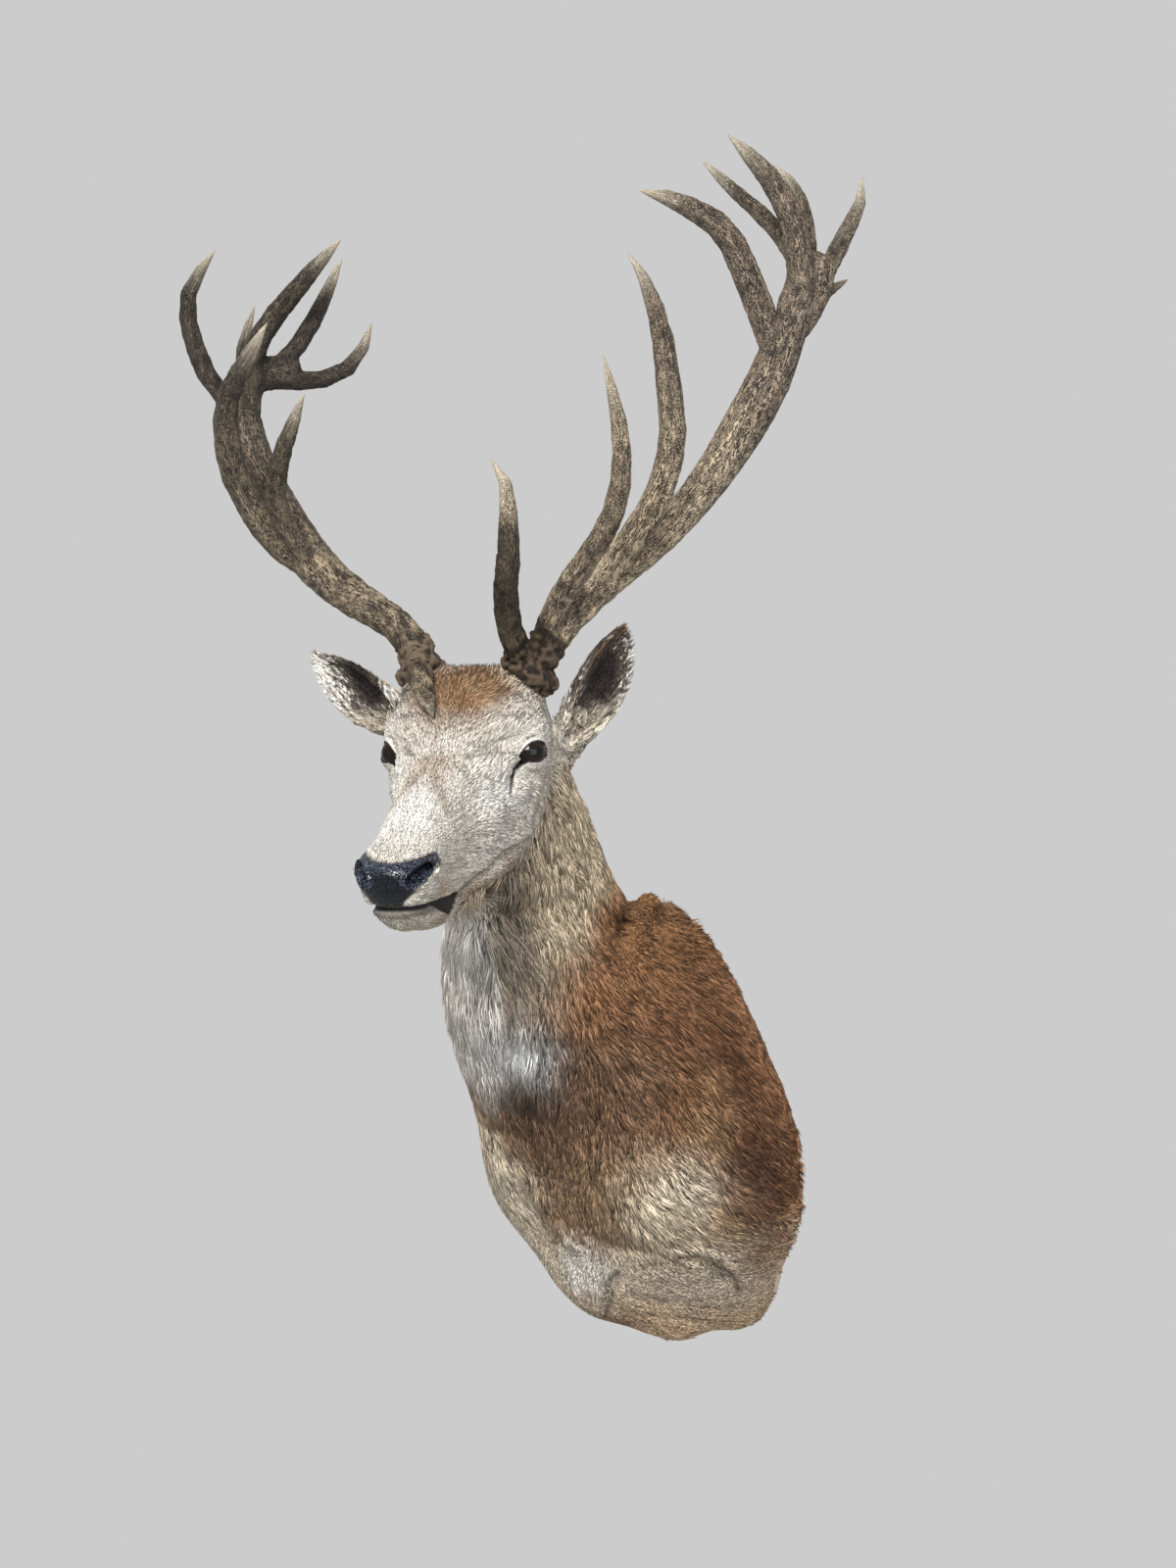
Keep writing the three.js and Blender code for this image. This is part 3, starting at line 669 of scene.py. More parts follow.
@dataclass
class EyeShape:
    """The lids' opening, as arcs on the eyeball in millimetres."""

    ball: float = 19.0
    half_length: float = 20.5
    upper: float = 10.9
    lower: float = 9.8
    lid: float = 1.6
    outward: Spot = (0.72, 0.68, 0.10)
    slant: Spot = (-0.66, 0.70, -0.26)

    def axes(self, side: int) -> tuple[Array, Array, Array]:
        """The eye's axes in the head's frame.

        Args:
            side: 1 for the left eye and -1 for the right.

        Returns:
            The way it looks, the way to its front corner and the way to its upper lid.
        """
        flip = np.array([side, 1, 1])
        look = unit(np.asarray(self.outward) * flip)
        front = np.asarray(self.slant) * flip
        front = unit(front - dot(front, look) * look)
        above = np.cross(look, front) * side
        if above[2] < 0:
            above = -above
        return look, front, above

    def arcs(self, local: Array, side: int) -> tuple[Array, Array, Array]:
        """Where each point stands round the eye.

        Args:
            local: Places in the head's frame.
            side: 1 for the left eye and -1 for the right.

        Returns:
            The arc to the front corner, the arc upwards, and the distance from the ball's middle.
        """
        look, front, above = self.axes(side)
        gap = local - HEAD.eye(side)
        reach = np.linalg.norm(gap, axis=1)
        way = gap / np.maximum(reach, 1e-6)[:, None]
        ahead = dot(way, look)
        return (
            np.arctan2(dot(way, front), ahead) * self.ball,
            np.arctan2(dot(way, above), ahead) * self.ball,
            reach,
        )

    def edge(self, forward: Array, upward: Array) -> Array:
        """How far outside the opening each place is.

        Args:
            forward: Its arc to the front corner.
            upward: Its arc upwards.

        Returns:
            The distance in millimetres, less than 0 inside.
        """
        share = np.clip(np.abs(forward) / self.half_length, 0, 1.6)
        rise = np.sqrt(np.clip(1 - share**2, 0, 1))
        sharp = np.where(forward > 0, rise**0.9, rise**0.8)
        height = np.where(upward > 0, self.upper, self.lower) * sharp
        above = np.abs(upward) - height
        beyond = np.maximum(np.abs(forward) - self.half_length, 0)
        outside = np.hypot(np.maximum(above, 0), beyond)
        return outside + np.minimum(above, 0) * (beyond == 0)


EYE = EyeShape()


def tear_gap(local: Array, side: int) -> tuple[Array, Array]:
    """How far each place is from the tear line, seen the way the eye looks.

    Args:
        local: Places in the head's frame.
        side: 1 for the left eye and -1 for the right.

    Returns:
        The distance, huge on the other side of the head, and the share of the line's length.
    """
    look = EYE.axes(side)[0]
    line = mirrored(TEAR_LINE, side)
    flat = [places - 0.8 * dot(places, look)[:, None] * look for places in (local, line)]
    gap, share = along_line(*flat)
    return np.where(on_side(local, side), gap, 1e3), share


class Region:
    """Soft masks of the stag's parts, from 0 to 1, shared by the skin and the coat."""

    THROAT_HEIGHTS = (-220, -150, -124, -114, -80, -40, 20, 90)
    THROAT_REACH = (150, 122, 62, -14, -22, -40, -104, -130)
    NOSE_HEIGHTS = (-122, -114, -106, -98, -88, -76)
    NOSE_REACH = (12, 18, 27, 35, 39, 40)
    MOUTH_FORWARD = (108, 113, 133, 200)
    MOUTH_BOTTOM = (-125, -131, -149, -124)

    def __init__(self, points: Array) -> None:
        """Works out the masks.

        Args:
            points: Places of the mount, in millimetres.
        """
        self.points = points
        self.local = HEAD.local(points)
        x, y, z = self.local.T
        self.side = np.where(x > 0, 1.0, -1.0)
        ears = [self._ear(name) for name in ("ear_left", "ear_right")]
        self.ear = np.maximum(*ears)
        head = smooth_step(-160, -118, y + 0.25 * (z + 20)) * smooth_step(-300, -180, z)
        self.head = np.maximum(head * (np.abs(x) < 150), self.ear)
        throat = np.interp(z, self.THROAT_HEIGHTS, self.THROAT_REACH)
        self.face = np.maximum(smooth_step(-26, 14, y - throat) * (self.head > 0), self.ear)
        self.muzzle = smooth_step(95, 150, y) * self.face
        self.nose = self._nose()
        self.mouth = self._mouth()
        gap = along_line(self.local, MOUTH_LINE, 0.0)[0]
        self.lips = np.exp(-((gap / 3.6) ** 4)) * smooth_step(111, 116, y) * (self.head > 0.5)
        burrs = [np.linalg.norm(self.local - place, axis=1) for place in BURR_PLACES]
        self.to_burr = np.minimum(*burrs)
        self.wall = smooth_step(-40, -4, points[:, 1])

    def _ear(self, name: str) -> Array:
        """The leaf of one ear, outside the skull.

        Args:
            name: The ear's node.

        Returns:
            The mask.
        """
        low, high = (np.array(corner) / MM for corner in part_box(name))
        inside = ((self.points > low - 4) & (self.points < high + 4)).all(axis=1)
        x, y, z = self.local.T
        outer = smooth_step(88, 102, np.abs(x) + 0.35 * np.maximum(z - 20, 0))
        return inside * outer * (y < -40)

    def _nose(self) -> Array:
        """The bare pad round the nostrils.

        Returns:
            The mask.
        """
        x, y, z = self.local.T
        reach = np.interp(z, self.NOSE_HEIGHTS, self.NOSE_REACH)
        sides = 1 - smooth_step(-1.5, 1.5, np.abs(x + 2) - reach)
        front = smooth_step(196, 201, y + 0.5 * (x + 20) * (x < -20))
        top = 1 - smooth_step(-3, 0, z + 81 - 0.0065 * x**2)
        low = smooth_step(-122, -119.5, z)
        return front * top * low * sides

    def _mouth(self) -> Array:
        """The corner where the jaws part, a triangle below the mouth's line, painted dark as shade.

        Returns:
            The mask.
        """
        x, y, z = self.local.T
        bottom = np.interp(y, self.MOUTH_FORWARD, self.MOUTH_BOTTOM)
        inside = smooth_step(0, 2, z - bottom) * (1 - smooth_step(-124.5, -122.5, z))
        return inside * (y > self.MOUTH_FORWARD[0]) * (y < self.MOUTH_FORWARD[-1]) * (np.abs(x) < 46)

    def hole(self, wider: float = 0.0) -> Array:
        """The inside of both nostrils.

        Args:
            wider: How far beyond their rims it reaches, in millimetres.

        Returns:
            1 inside and 0 outside.
        """
        out = np.zeros(len(self.local))
        for side in (1, -1):
            for line, width in ((NOSTRIL, 6.0 + wider), (NOSTRIL_SLIT, 3.2 + wider)):
                gap = along_line(self.local, mirrored(line, side), 0.6)[0]
                out = np.maximum(out, 1 - smooth_step(width - 1.2, width + 0.6, gap))
        return out * (self.local[:, 1] > 190)


# ---- finishes of the hide
@dataclass(frozen=True)
class HideFinish:
    """The skin under the coat: its markings darkened, wet and pebbled on the nose, with painted glints on
    the nose and painted shade inside the nostrils.
    """

    pit: Colour = (0.001, 0.001, 0.002)
    bead: Colour = (0.005, 0.006, 0.012)
    painted_glint: Colour = (0.14, 0.17, 0.24)
    nostril_shade: Colour = (0.001, 0.001, 0.001)
    hair_scale: float = 900.0
    bead_scale: float = 420.0
    glint_scale: float = 820.0
    dry: float = 0.78
    polish: float = 0.60

    def make(self) -> Material:
        """Builds the material.

        Returns:
            The material.
        """
        finish = Finish("hide", Specular_IOR_Level=0.4)
        marking = finish.colour_attribute("marking")
        wet = finish.attribute("wet")
        hole = finish.attribute("hole")
        hair = finish.noise(self.hair_scale)
        shade = finish.grey(finish.between(hair, 0.3, 0.75) * 0.45 + 0.5)
        furred = finish.tint(marking, shade)
        settings = {"feature": "DISTANCE_TO_EDGE"}
        cells = finish.node("ShaderNodeTexVoronoi", settings, finish.place(), None, self.bead_scale)
        beads = finish.between(cells[0], 0.0, 0.16)
        nose = finish.mix(beads, self.pit, self.bead)
        # Painted glints: pale blue specks where the nose faces up and round the nostril rims.
        glints = finish.between(finish.noise(self.glint_scale), 0.54, 0.60) * finish.attribute("glint_area")
        nose = finish.mix(glints, nose, self.painted_glint)
        # Painted shade: the insides of the nostrils are black and without glints.
        nose = finish.mix(hole, nose, self.nostril_shade)
        open_wet = wet * (1 - hole)
        finish.colour(finish.mix(wet, furred, nose))
        finish.roughness(self.dry - open_wet * self.polish)
        finish.relief((hair, 0.4, 0.5), (beads * open_wet, 1.0, 2.4))
        return finish.material


@dataclass(frozen=True)
class CoatFinish:
    """The hair: darker at the roots, paler at the tips, each tuft a little different."""

    bleach: Colour = (0.97, 1.02, 1.09)
    strand_scale: float = 700.0
    darkest: float = 0.12
    tone_range: float = 1.6
    root_light: float = 0.46
    tip_light: float = 0.74

    def make(self) -> Material:
        """Builds the material.

        Returns:
            The material.
        """
        finish = Finish("coat", Roughness=0.62, Specular_IOR_Level=0.3)
        marking = finish.colour_attribute("marking")
        along = finish.attribute("along")
        tone = finish.attribute("tone")
        strand = finish.noise(self.strand_scale, 1.0)
        light = (self.darkest + tone * self.tone_range) * (self.root_light + along * self.tip_light)
        light = light * (0.9 + strand * 0.2)
        bleached = finish.tint(marking, self.bleach)
        hair = finish.mix(finish.between(light, 0.6, 1.5), marking, bleached)
        finish.colour(finish.tint(hair, finish.grey(light)))
        return finish.material


# ---- shaping the skin
@dataclass(frozen=True)
class Swell:
    """A soft bump in the skin, or a hollow if its height is below 0, in millimetres."""

    middle: Spot
    reach: Spot
    height: float


@dataclass(frozen=True)
class Groove:
    """A groove along a line, or a ridge if its depth is below 0, in millimetres."""

    line: Line
    width: float
    depth: float
    lips: float = 0.0
    flat: float = 1.0


CHEST_SWELLS = (
    Swell((-76, -205, -85), (56, 70, 80), 17.0),
    Swell((150, -160, -60), (60, 50, 60), 5.0),
    Swell((50, -92, 248), (44, 24, 22), 12.0),
    Swell((-20, -150, -215), (50, 50, 50), 8.0),
    Swell((14, -134, -244), (50, 44, 40), 15.0),
    Swell((100, -70, -262), (60, 50, 34), 11.0),
)
CHEST_GROOVES = (
    Groove(KEEL_HOLLOW, 10.0, 9.0),
    Groove(KEEL_RIDGE, 7.0, -8.0),
    Groove(WITHERS_NOTCH, 13.0, 30.0),
    Groove(BRISKET_FOLD, 6.0, 10.0),
    Groove(BRISKET_CREST, 8.0, -5.0),
    Groove(KEEL_FOLD, 5.0, 9.0, 3.0),
    Groove(BREAST_CREASE, 8.0, 3.0),
    Groove(LOWER_CREASE, 8.0, 3.0, 2.0),
    Groove(FAR_CREASE, 7.0, 4.0, 2.0),
)
FACE_SWELLS = (
    Swell((60, 12, 33), (22, 26, 9), 4.6),
    Swell((76, -24, 22), (12, 18, 10), 2.4),
    Swell((54, 42, 12), (12, 20, 8), -4.0),
    Swell((66, 34, -34), (10, 26, 9), 3.6),
    Swell((58, 68, -54), (10, 28, 9), 3.0),
    Swell((44, 96, -34), (12, 40, 13), -4.6),
    Swell((26, 110, -12), (9, 40, 10), 2.0),
    Swell((64, 0, -86), (12, 34, 12), 2.6),
    Swell((52, 46, -94), (14, 36, 8), -3.4),
    Swell((46, 20, -106), (12, 44, 7), 2.4),
    Swell((36, 150, -66), (10, 26, 14), 2.0),
    Swell((84, -50, -4), (12, 20, 22), -3.4),
    Swell((30, 34, 58), (16, 20, 12), -2.2),
)
FACE_GROOVES = (
    Groove(FURROW_LINE, 3.4, 3.0, 1.0),
    Groove(JAW_GROOVE, 4.0, 4.0, 1.4, SIDEWAYS),
    Groove(JAW_EDGE, 4.4, 4.0, 1.0, SIDEWAYS),
    Groove(CHEEK_REAR, 5.0, 2.6, 0.6, SIDEWAYS),
)


class Sculptor:
    """Shapes the head's fine features on a dense skin."""

    def __init__(self, obj: Piece) -> None:
        """Reads the skin.

        Args:
            obj: The skin.
        """
        self.obj = obj
        self.points = points_of(obj)
        self.normals = normals_of(obj)
        self.edges = edges_of(obj)

    def refresh(self) -> None:
        """Writes the points back and reads the new normals."""
        set_points(self.obj, self.points)
        self.normals = normals_of(self.obj)

    def soften(self, mask: Array, turns: int, strength: float = 0.6) -> None:
        """Smooths the skin.

        Args:
            mask: Where, from 0 to 1.
            turns: How often.
            strength: How far each turn goes towards the mean.
        """
        for _ in range(turns):
            mean = edge_mean(self.edges, self.points)
            self.points += (mean - self.points) * (mask * strength)[:, None]

    def round_off(self, mask: Array, turns: int, strength: float = 0.85) -> None:
        """Smooths the skin, then gives back the broad shape that this took off.

        Args:
            mask: Where, from 0 to 1.
            turns: How often.
            strength: How far each turn goes towards the mean.
        """
        before = self.points.copy()
        self.soften(mask, turns, strength)
        lost = before - self.points
        for _ in range(turns // 2):
            lost += (edge_mean(self.edges, lost) - lost) * strength
        self.points += lost * mask[:, None]

    def push(self, amount: Array) -> None:
        """Moves the skin along its normals, in millimetres."""
        self.points += self.normals * amount[:, None]

    def _places(self, side: int) -> Array:
        """The points in the head's frame, or in the mount's if side is 0."""
        return HEAD.local(self.points) if side else self.points

    def groove(self, groove: Groove, side: int = 0, fade: float = 0.25) -> None:
        """Presses a groove in.

        Args:
            groove: Its shape.
            side: 1 or -1 for a side of the head, 0 for a line in the mount's frame.
            fade: The share of its length over which each end runs out.
        """
        places = self._places(side)
        line = laid_on(places, mirrored(groove.line, side or 1))
        gap, share = along_line(places, line, groove.flat)
        ends = np.minimum(smooth_step(-0.01, fade, share), 1 - smooth_step(1 - fade, 1.01, share))
        profile = -groove.depth * bell(gap / groove.width)
        profile += groove.lips * bell((gap - 2.2 * groove.width) / groove.width)
        self.push(profile * ends)
        self.refresh()

    def swell(self, swell: Swell, side: int = 0) -> None:
        """Raises a soft bump.

        Args:
            swell: Its shape.
            side: 1 or -1 for a side of the head, 0 for a place in the mount's frame.
        """
        middle = mirrored(swell.middle, side or 1)
        self.push(bump_at(self._places(side), middle, swell.reach) * swell.height)


@dataclass
class Skin:
    """The one skin over head, ears, neck, shoulders and brisket."""

    nodes: tuple[str, ...] = (
        "head", "nose_pad", "lower_jaw", "ear_left", "ear_right", "neck", "shoulders", "brisket",
    )
    voxel: float = 2.0
    triangles: int = 142_000
    ear_roots: tuple[tuple[Spot, float], ...] = (
        ((84, -86, 12), 17), ((92, -89, 26), 14), ((98, -88, 10), 14),
        ((102, -88, 36), 12), ((92, -92, -8), 13), ((84, -94, -24), 14),
    )
    mouth_floor: Spot = (0, 144, -132)
    mouth_size: Spot = (32, 62, 25)
    obj: Piece = field(init=False)
    sculptor: Sculptor = field(init=False)

    def build(self) -> None:
        """Makes the skin's shape, without a finish."""
        self.obj = joined_copy("stag_skin", (*self.nodes, "eye_left", "eye_right"))
        self._fill_out()
        modify(self.obj, "REMESH", mode="VOXEL", voxel_size=self.voxel * MM)
        self._thin_out()
        self._refine()
        self.sculptor = Sculptor(self.obj)
        self._round_off()
        self._sink()
        self._chest()
        self._bones()
        self._face()
        self.sculptor.refresh()
        self.obj.data.shade_smooth()

    def dress(self) -> None:
        """Stores what its finish reads at the vertices, and hands it over."""
        normals = normals_of(self.obj)
        region = Region(points_of(self.obj))
        hole = region.hole()
        above = smooth_step(0.15, 0.65, HEAD.local_way(normals)[:, 2])
        put(self.obj, "marking", Markings(region, normals).colour)
        put(self.obj, "wet", np.maximum(region.nose, hole))
        put(self.obj, "hole", hole)
        # Where the nose gets painted glints: its upward faces and a ring round each nostril.
        put(self.obj, "glint_area", region.nose * np.maximum(above, region.hole(2.6)))
        hand_over(self.obj, HideFinish().make(), Slot.HEAD_HAIR, *self.nodes)

    def _fill_out(self) -> None:
        """Adds the flesh round the ear roots, and the dark floor of the mouth."""
        make_active(self.obj)
        bpy.ops.object.mode_set(mode="EDIT")
        ball = {"segments": 20, "ring_count": 12}
        for side in (1, -1):
            for place, radius in self.ear_roots:
                middle = HEAD.place(mirrored(place, side)) * MM
                bpy.ops.mesh.primitive_uv_sphere_add(radius=radius * MM, location=middle, **ball)
        middle = HEAD.place(np.array(self.mouth_floor)) * MM
        turn = (0.0, 0.0, math.atan2(HEAD.axes[0][1], HEAD.axes[0][0]))
        bpy.ops.mesh.primitive_uv_sphere_add(
            radius=MM, location=middle, rotation=turn, scale=self.mouth_size, **ball
        )
        bpy.ops.object.mode_set(mode="OBJECT")

    def _thin_out(self) -> None:
        """Makes the body's faces larger than the head's."""
        region = Region(points_of(self.obj))
        group = self.obj.vertex_groups.new(name="body")
        keep = region.head > 0.5
        group.add(np.flatnonzero(~keep).tolist(), 1.0, "REPLACE")
        count = len(triangles_of(self.obj))
        head_share = keep.mean()
        body_ratio = (self.triangles * 1.3 / count - head_share) / (1 - head_share)
        ratio = head_share + (1 - head_share) * max(body_ratio, 0.08)
        LOG.info("skin before thinning: %d triangles, head share %.2f", count, head_share)
        modify(self.obj, "DECIMATE", ratio=ratio, vertex_group="body", vertex_group_factor=1.0)
        modify(self.obj, "DECIMATE", ratio=self.triangles / len(triangles_of(self.obj)))

    def _refine(self) -> None:
        """Cuts the faces round the eyes, nostrils and mouth smaller."""
        mesh = self.obj.data
        local = HEAD.local(points_of(self.obj))
        fine = along_line(local, MOUTH_LINE, 0.0)[0] < 6
        for side in (1, -1):
            fine |= np.linalg.norm(local - HEAD.eye(side), axis=1) < 34
            fine |= tear_gap(local, side)[0] < 7
        fine |= (local[:, 1] > 196) & (local[:, 2] < -70) & (local[:, 2] > -125)
        make_active(self.obj)
        mesh.vertices.foreach_set("select", fine)
        mesh.edges.foreach_set("select", np.zeros(len(mesh.edges), bool))
        mesh.polygons.foreach_set("select", np.zeros(len(mesh.polygons), bool))
        bpy.ops.object.mode_set(mode="EDIT")
        bpy.ops.mesh.select_mode(type="VERT")
        bpy.ops.mesh.subdivide(number_cuts=1, quadcorner="INNERVERT")
        bpy.ops.mesh.select_all(action="SELECT")
        bpy.ops.mesh.quads_convert_to_tris()
        bpy.ops.object.mode_set(mode="OBJECT")

    def _round_off(self) -> None:
        """Takes the facets off the body, and less off the head."""
        sculptor = self.sculptor
        region = Region(sculptor.points)
        rear = smooth_step(-26, -20, sculptor.points[:, 1])
        plain = (1 - region.ear) * smooth_step(30, 44, region.to_burr)
        sculptor.round_off((1 - region.head) * (1 - rear), 36)
        join = 4 * region.head * (1 - region.head)
        sculptor.soften(join * plain, 60, 0.8)
        sculptor.soften(region.head * plain, 16, 0.7)
        sculptor.soften(region.ear, 4, 0.6)
        sculptor.refresh()

    @staticmethod
    def coat_depth(region: Region) -> Array:
        """How far the skin lies under the tips of the coat.

        Args:
            region: The places and their masks.

        Returns:
            The depth at each place, in millimetres.
        """
        depth = 7.0 + 3.0 * bump_at(region.points, (60, -330, 180), (110, 120, 150))
        depth = toward(depth, 2.2, region.face)
        depth = toward(depth, 0.9, region.muzzle)
        depth = depth * (1 - region.nose)
        depth = toward(depth, 0.7, region.ear)
        depth = depth * smooth_step(24, 44, region.to_burr)
        return toward(depth, 3.2, region.wall)

    def _sink(self) -> None:
        """Moves the skin in by the coat's depth, except where it meets the board."""
        sculptor = self.sculptor
        faces_wall = smooth_step(-26, -19, sculptor.points[:, 1])
        outward = sculptor.points - np.array([0, 0, -30])
        outward[:, 1] = 0
        inner = dot(sculptor.normals, unit(outward)) < 0.35
        sculptor.push(-self.coat_depth(Region(sculptor.points)) * (1 - faces_wall * inner))
        sculptor.refresh()

    def bare(self) -> Array:
        """Where no hair grows: nose, lids, lips, under the burrs and at the wall.

        Returns:
            1 at each bare vertex, 0 where the coat grows.
        """
        points, normals = points_of(self.obj), normals_of(self.obj)
        region = Region(points)
        out = np.maximum(region.nose, (region.to_burr < 27).astype(float))
        out = np.maximum(out, region.hole() > 0.3)
        rear = (points[:, 1] > -22) & (dot(normals, unit(points * (1, 0, 1))) < 0.3)
        out = np.maximum(out, rear)
        for side in (1, -1):
            forward, upward, reach = EYE.arcs(region.local, side)
            lids = (EYE.edge(forward, upward) < 2.4) & (reach < 34)
            out = np.maximum(out, lids & on_side(region.local, side))
            out = np.maximum(out, tear_gap(region.local, side)[0] < 2.6)
        return np.maximum(out, np.maximum(region.mouth, region.lips) > 0.5).astype(float)

    def _chest(self) -> None:
        """The keel, the breast beside it and the folds of hide under it."""
        for swell in CHEST_SWELLS:
            self.sculptor.swell(swell)
        self.sculptor.refresh()
        for groove in CHEST_GROOVES:
            self.sculptor.groove(groove)

    def _bones(self) -> None:
        """Brow ridges, cheek bones, the jaw's edge and the hollows between them."""
        for side in (1, -1):
            for swell in FACE_SWELLS:
                self.sculptor.swell(swell, side)
            self.sculptor.refresh()
            for groove in FACE_GROOVES:
                self.sculptor.groove(groove, side, fade=0.3)

    def _face(self) -> None:
        """Adds lids, tear pits, nostrils, lips and the groove between the nostrils."""
        sculptor = self.sculptor
        for side in (1, -1):
            self._eye(side)
            self._nostril(side)
            gap, share = tear_gap(HEAD.local(sculptor.points), side)
            sculptor.push(-4.5 * bell(gap / 2.4) * (1.2 - 0.5 * share))
            sculptor.refresh()
        region = Region(sculptor.points)
        sculptor.push(-5.0 * np.maximum(region.mouth, region.lips))
        sculptor.refresh()
        sculptor.groove(Groove(SEPTUM_LINE, 1.1, 1.3), side=1, fade=0.15)

    def _eye(self, side: int) -> None:
        """Lays the lids over one eyeball and opens them.

        Args:
            side: 1 for the left eye and -1 for the right.
        """
        local = HEAD.local(self.sculptor.points)
        forward, upward, reach = EYE.arcs(local, side)
        near = (reach < 44) & on_side(local, side)
        edge = EYE.edge(forward, upward)
        inside = EYE.ball - 1.8
        lid = EYE.ball + EYE.lid * smooth_step(-1.6, 0.6, edge)
        lid = toward(inside, lid, smooth_step(-1.6, -0.4, edge))
        wanted = np.where(edge < -1.6, inside, lid)
        crease = 1.8 * bell((edge - 6.6) / 1.5) * (upward > 0)
        crease = crease + 0.7 * bell((edge - 4.2) / 1.5) * (upward <= 0)
        wanted = wanted - crease + 0.6 * bell((edge - 2.0) / 1.4)
        blend = np.where(edge < 4.0, 1.0, 1 - smooth_step(4.0, 15.0, edge)) * near
        # The lids never cut into the ball, whatever the skin beyond them does.
        base = np.maximum(reach, EYE.ball + 0.8)
        new_reach = np.where(near & (edge < 22), toward(base, wanted, blend), reach)
        moved = HEAD.eye(side) + unit(local - HEAD.eye(side)) * new_reach[:, None]
        self.sculptor.points = HEAD.place(np.where(near[:, None], moved, local))
        self.sculptor.refresh()

    def _nostril(self, side: int) -> None:
        """Opens one comma-shaped nostril.

        Args:
            side: 1 for the left nostril and -1 for the right.
        """
        local = HEAD.local(self.sculptor.points)
        way = HEAD.way(unit(np.array([-0.5 * side, -1.0, 0.1])))
        depth = np.zeros(len(local))
        rim = np.zeros(len(local))
        for line, width, deep, raised in ((NOSTRIL, 5.2, 13.0, 1.8), (NOSTRIL_SLIT, 2.2, 6.0, 0.6)):
            gap = along_line(local, mirrored(line, side))[0]
            depth = np.maximum(depth, deep * np.exp(-((gap / width) ** 4)))
            rim += raised * bell((gap - width - 2.2) / 1.6)
        self.sculptor.points += depth[:, None] * way
        self.sculptor.push(rim * (depth < 1.0))
        self.sculptor.refresh()


# ---- colours of the coat
PEARL = srgb(222, 216, 204)
CREAM = srgb(218, 204, 180)
WHITE = srgb(238, 236, 230)
ASH = srgb(222, 216, 206)
SMOKE = srgb(122, 111, 99)
KHAKI = srgb(186, 169, 142)
TAN = srgb(172, 136, 98)
FAWN = srgb(152, 124, 94)
GOLD = srgb(134, 96, 62)
BROWN = srgb(132, 94, 64)
MOUSE = srgb(126, 96, 72)
CHESTNUT = srgb(88, 54, 35)
UMBER = srgb(76, 55, 42)
SOOT = srgb(36, 30, 28)
# NIGHT is the near black of the painted shade in the mouth and the tear pits.
NIGHT = srgb(15, 12, 11)


Patch = tuple[Spot, Spot, Colour, float]
FLANK_PATCHES: tuple[Patch, ...] = (
    ((160, -84, 70), (50, 60, 100), CHESTNUT, 0.85),
    ((110, -60, 190), (60, 60, 50), CHESTNUT, 0.35),
    ((196, -80, -60), (40, 50, 80), CHESTNUT, 0.7),
    ((90, -206, -80), (56, 48, 56), FAWN, 1.0),
    ((176, -128, 12), (26, 40, 60), TAN, 0.65),
    ((157, -160, -80), (44, 46, 50), CREAM, 1.5),
    ((150, -165, -100), (52, 50, 40), KHAKI, 0.7),
    ((186, -115, -110), (30, 40, 40), TAN, 0.6),
    ((198, -96, -26), (24, 36, 46), CHESTNUT, 0.6),
)
CHEST_PATCHES: tuple[Patch, ...] = (
    ((-62, -215, -80), (52, 62, 74), CREAM, 1.0),
    ((30, -225, -110), (40, 40, 50), FAWN, 0.6),
    ((48, -300, 92), (30, 44, 32), WHITE, 1.0),
    ((48, -282, 36), (30, 44, 34), UMBER, 0.8),
    ((26, -172, -185), (26, 44, 34), WHITE, 0.7),
    ((20, -124, -250), (26, 30, 14), UMBER, 0.8),
    ((196, -40, -160), (26, 44, 60), BROWN, 0.9),
    ((-80, -310, 150), (26, 60, 60), TAN, 0.8),
)
FACE_PATCHES: tuple[Patch, ...] = (
    ((0, 176, -44), (32, 46, 38), WHITE, 1.0),
    ((50, 92, -38), (16, 44, 22), WHITE, 0.85),
    ((66, 44, -24), (16, 22, 24), WHITE, 0.7),
    ((46, 20, 50), (30, 34, 18), WHITE, 0.8),
    ((84, 4, 20), (16, 18, 16), WHITE, 0.5),
    ((48, 56, -80), (20, 46, 16), ASH, 0.7),
    ((50, 30, -118), (24, 60, 14), TAN, 0.5),
    ((36, 180, -112), (14, 26, 10), TAN, 0.7),
    ((44, 200, -84), (10, 16, 16), TAN, 0.6),
    ((14, 112, -8), (14, 34, 16), FAWN, 0.3),
    ((86, -46, -6), (14, 26, 30), KHAKI, 0.3),
    ((40, 120, -132), (18, 40, 10), TAN, 0.45),
    ((0, 200, -152), (36, 44, 11), TAN, 0.8),
    ((29, 168, -146), (12, 16, 12), BROWN, 0.85),
    ((58, 10, -110), (22, 44, 14), FAWN, 0.5),
    ((44, 84, -126), (20, 46, 9), FAWN, 0.7),
    ((90, -66, 62), (12, 16, 20), BROWN, 0.8),
    ((0, -100, 60), (70, 40, 60), BROWN, 0.85),
    ((40, -50, 94), (20, 30, 20), KHAKI, 0.6),
)
# Painted shade in the brisket and keel folds (UMBER), and a painted highlight along the brisket's crest
# (CREAM).
FOLD_SHADE_AND_HIGHLIGHT = ((BRISKET_FOLD, UMBER, 0.95), (BRISKET_CREST, CREAM, 0.5), (KEEL_FOLD, UMBER, 0.95))
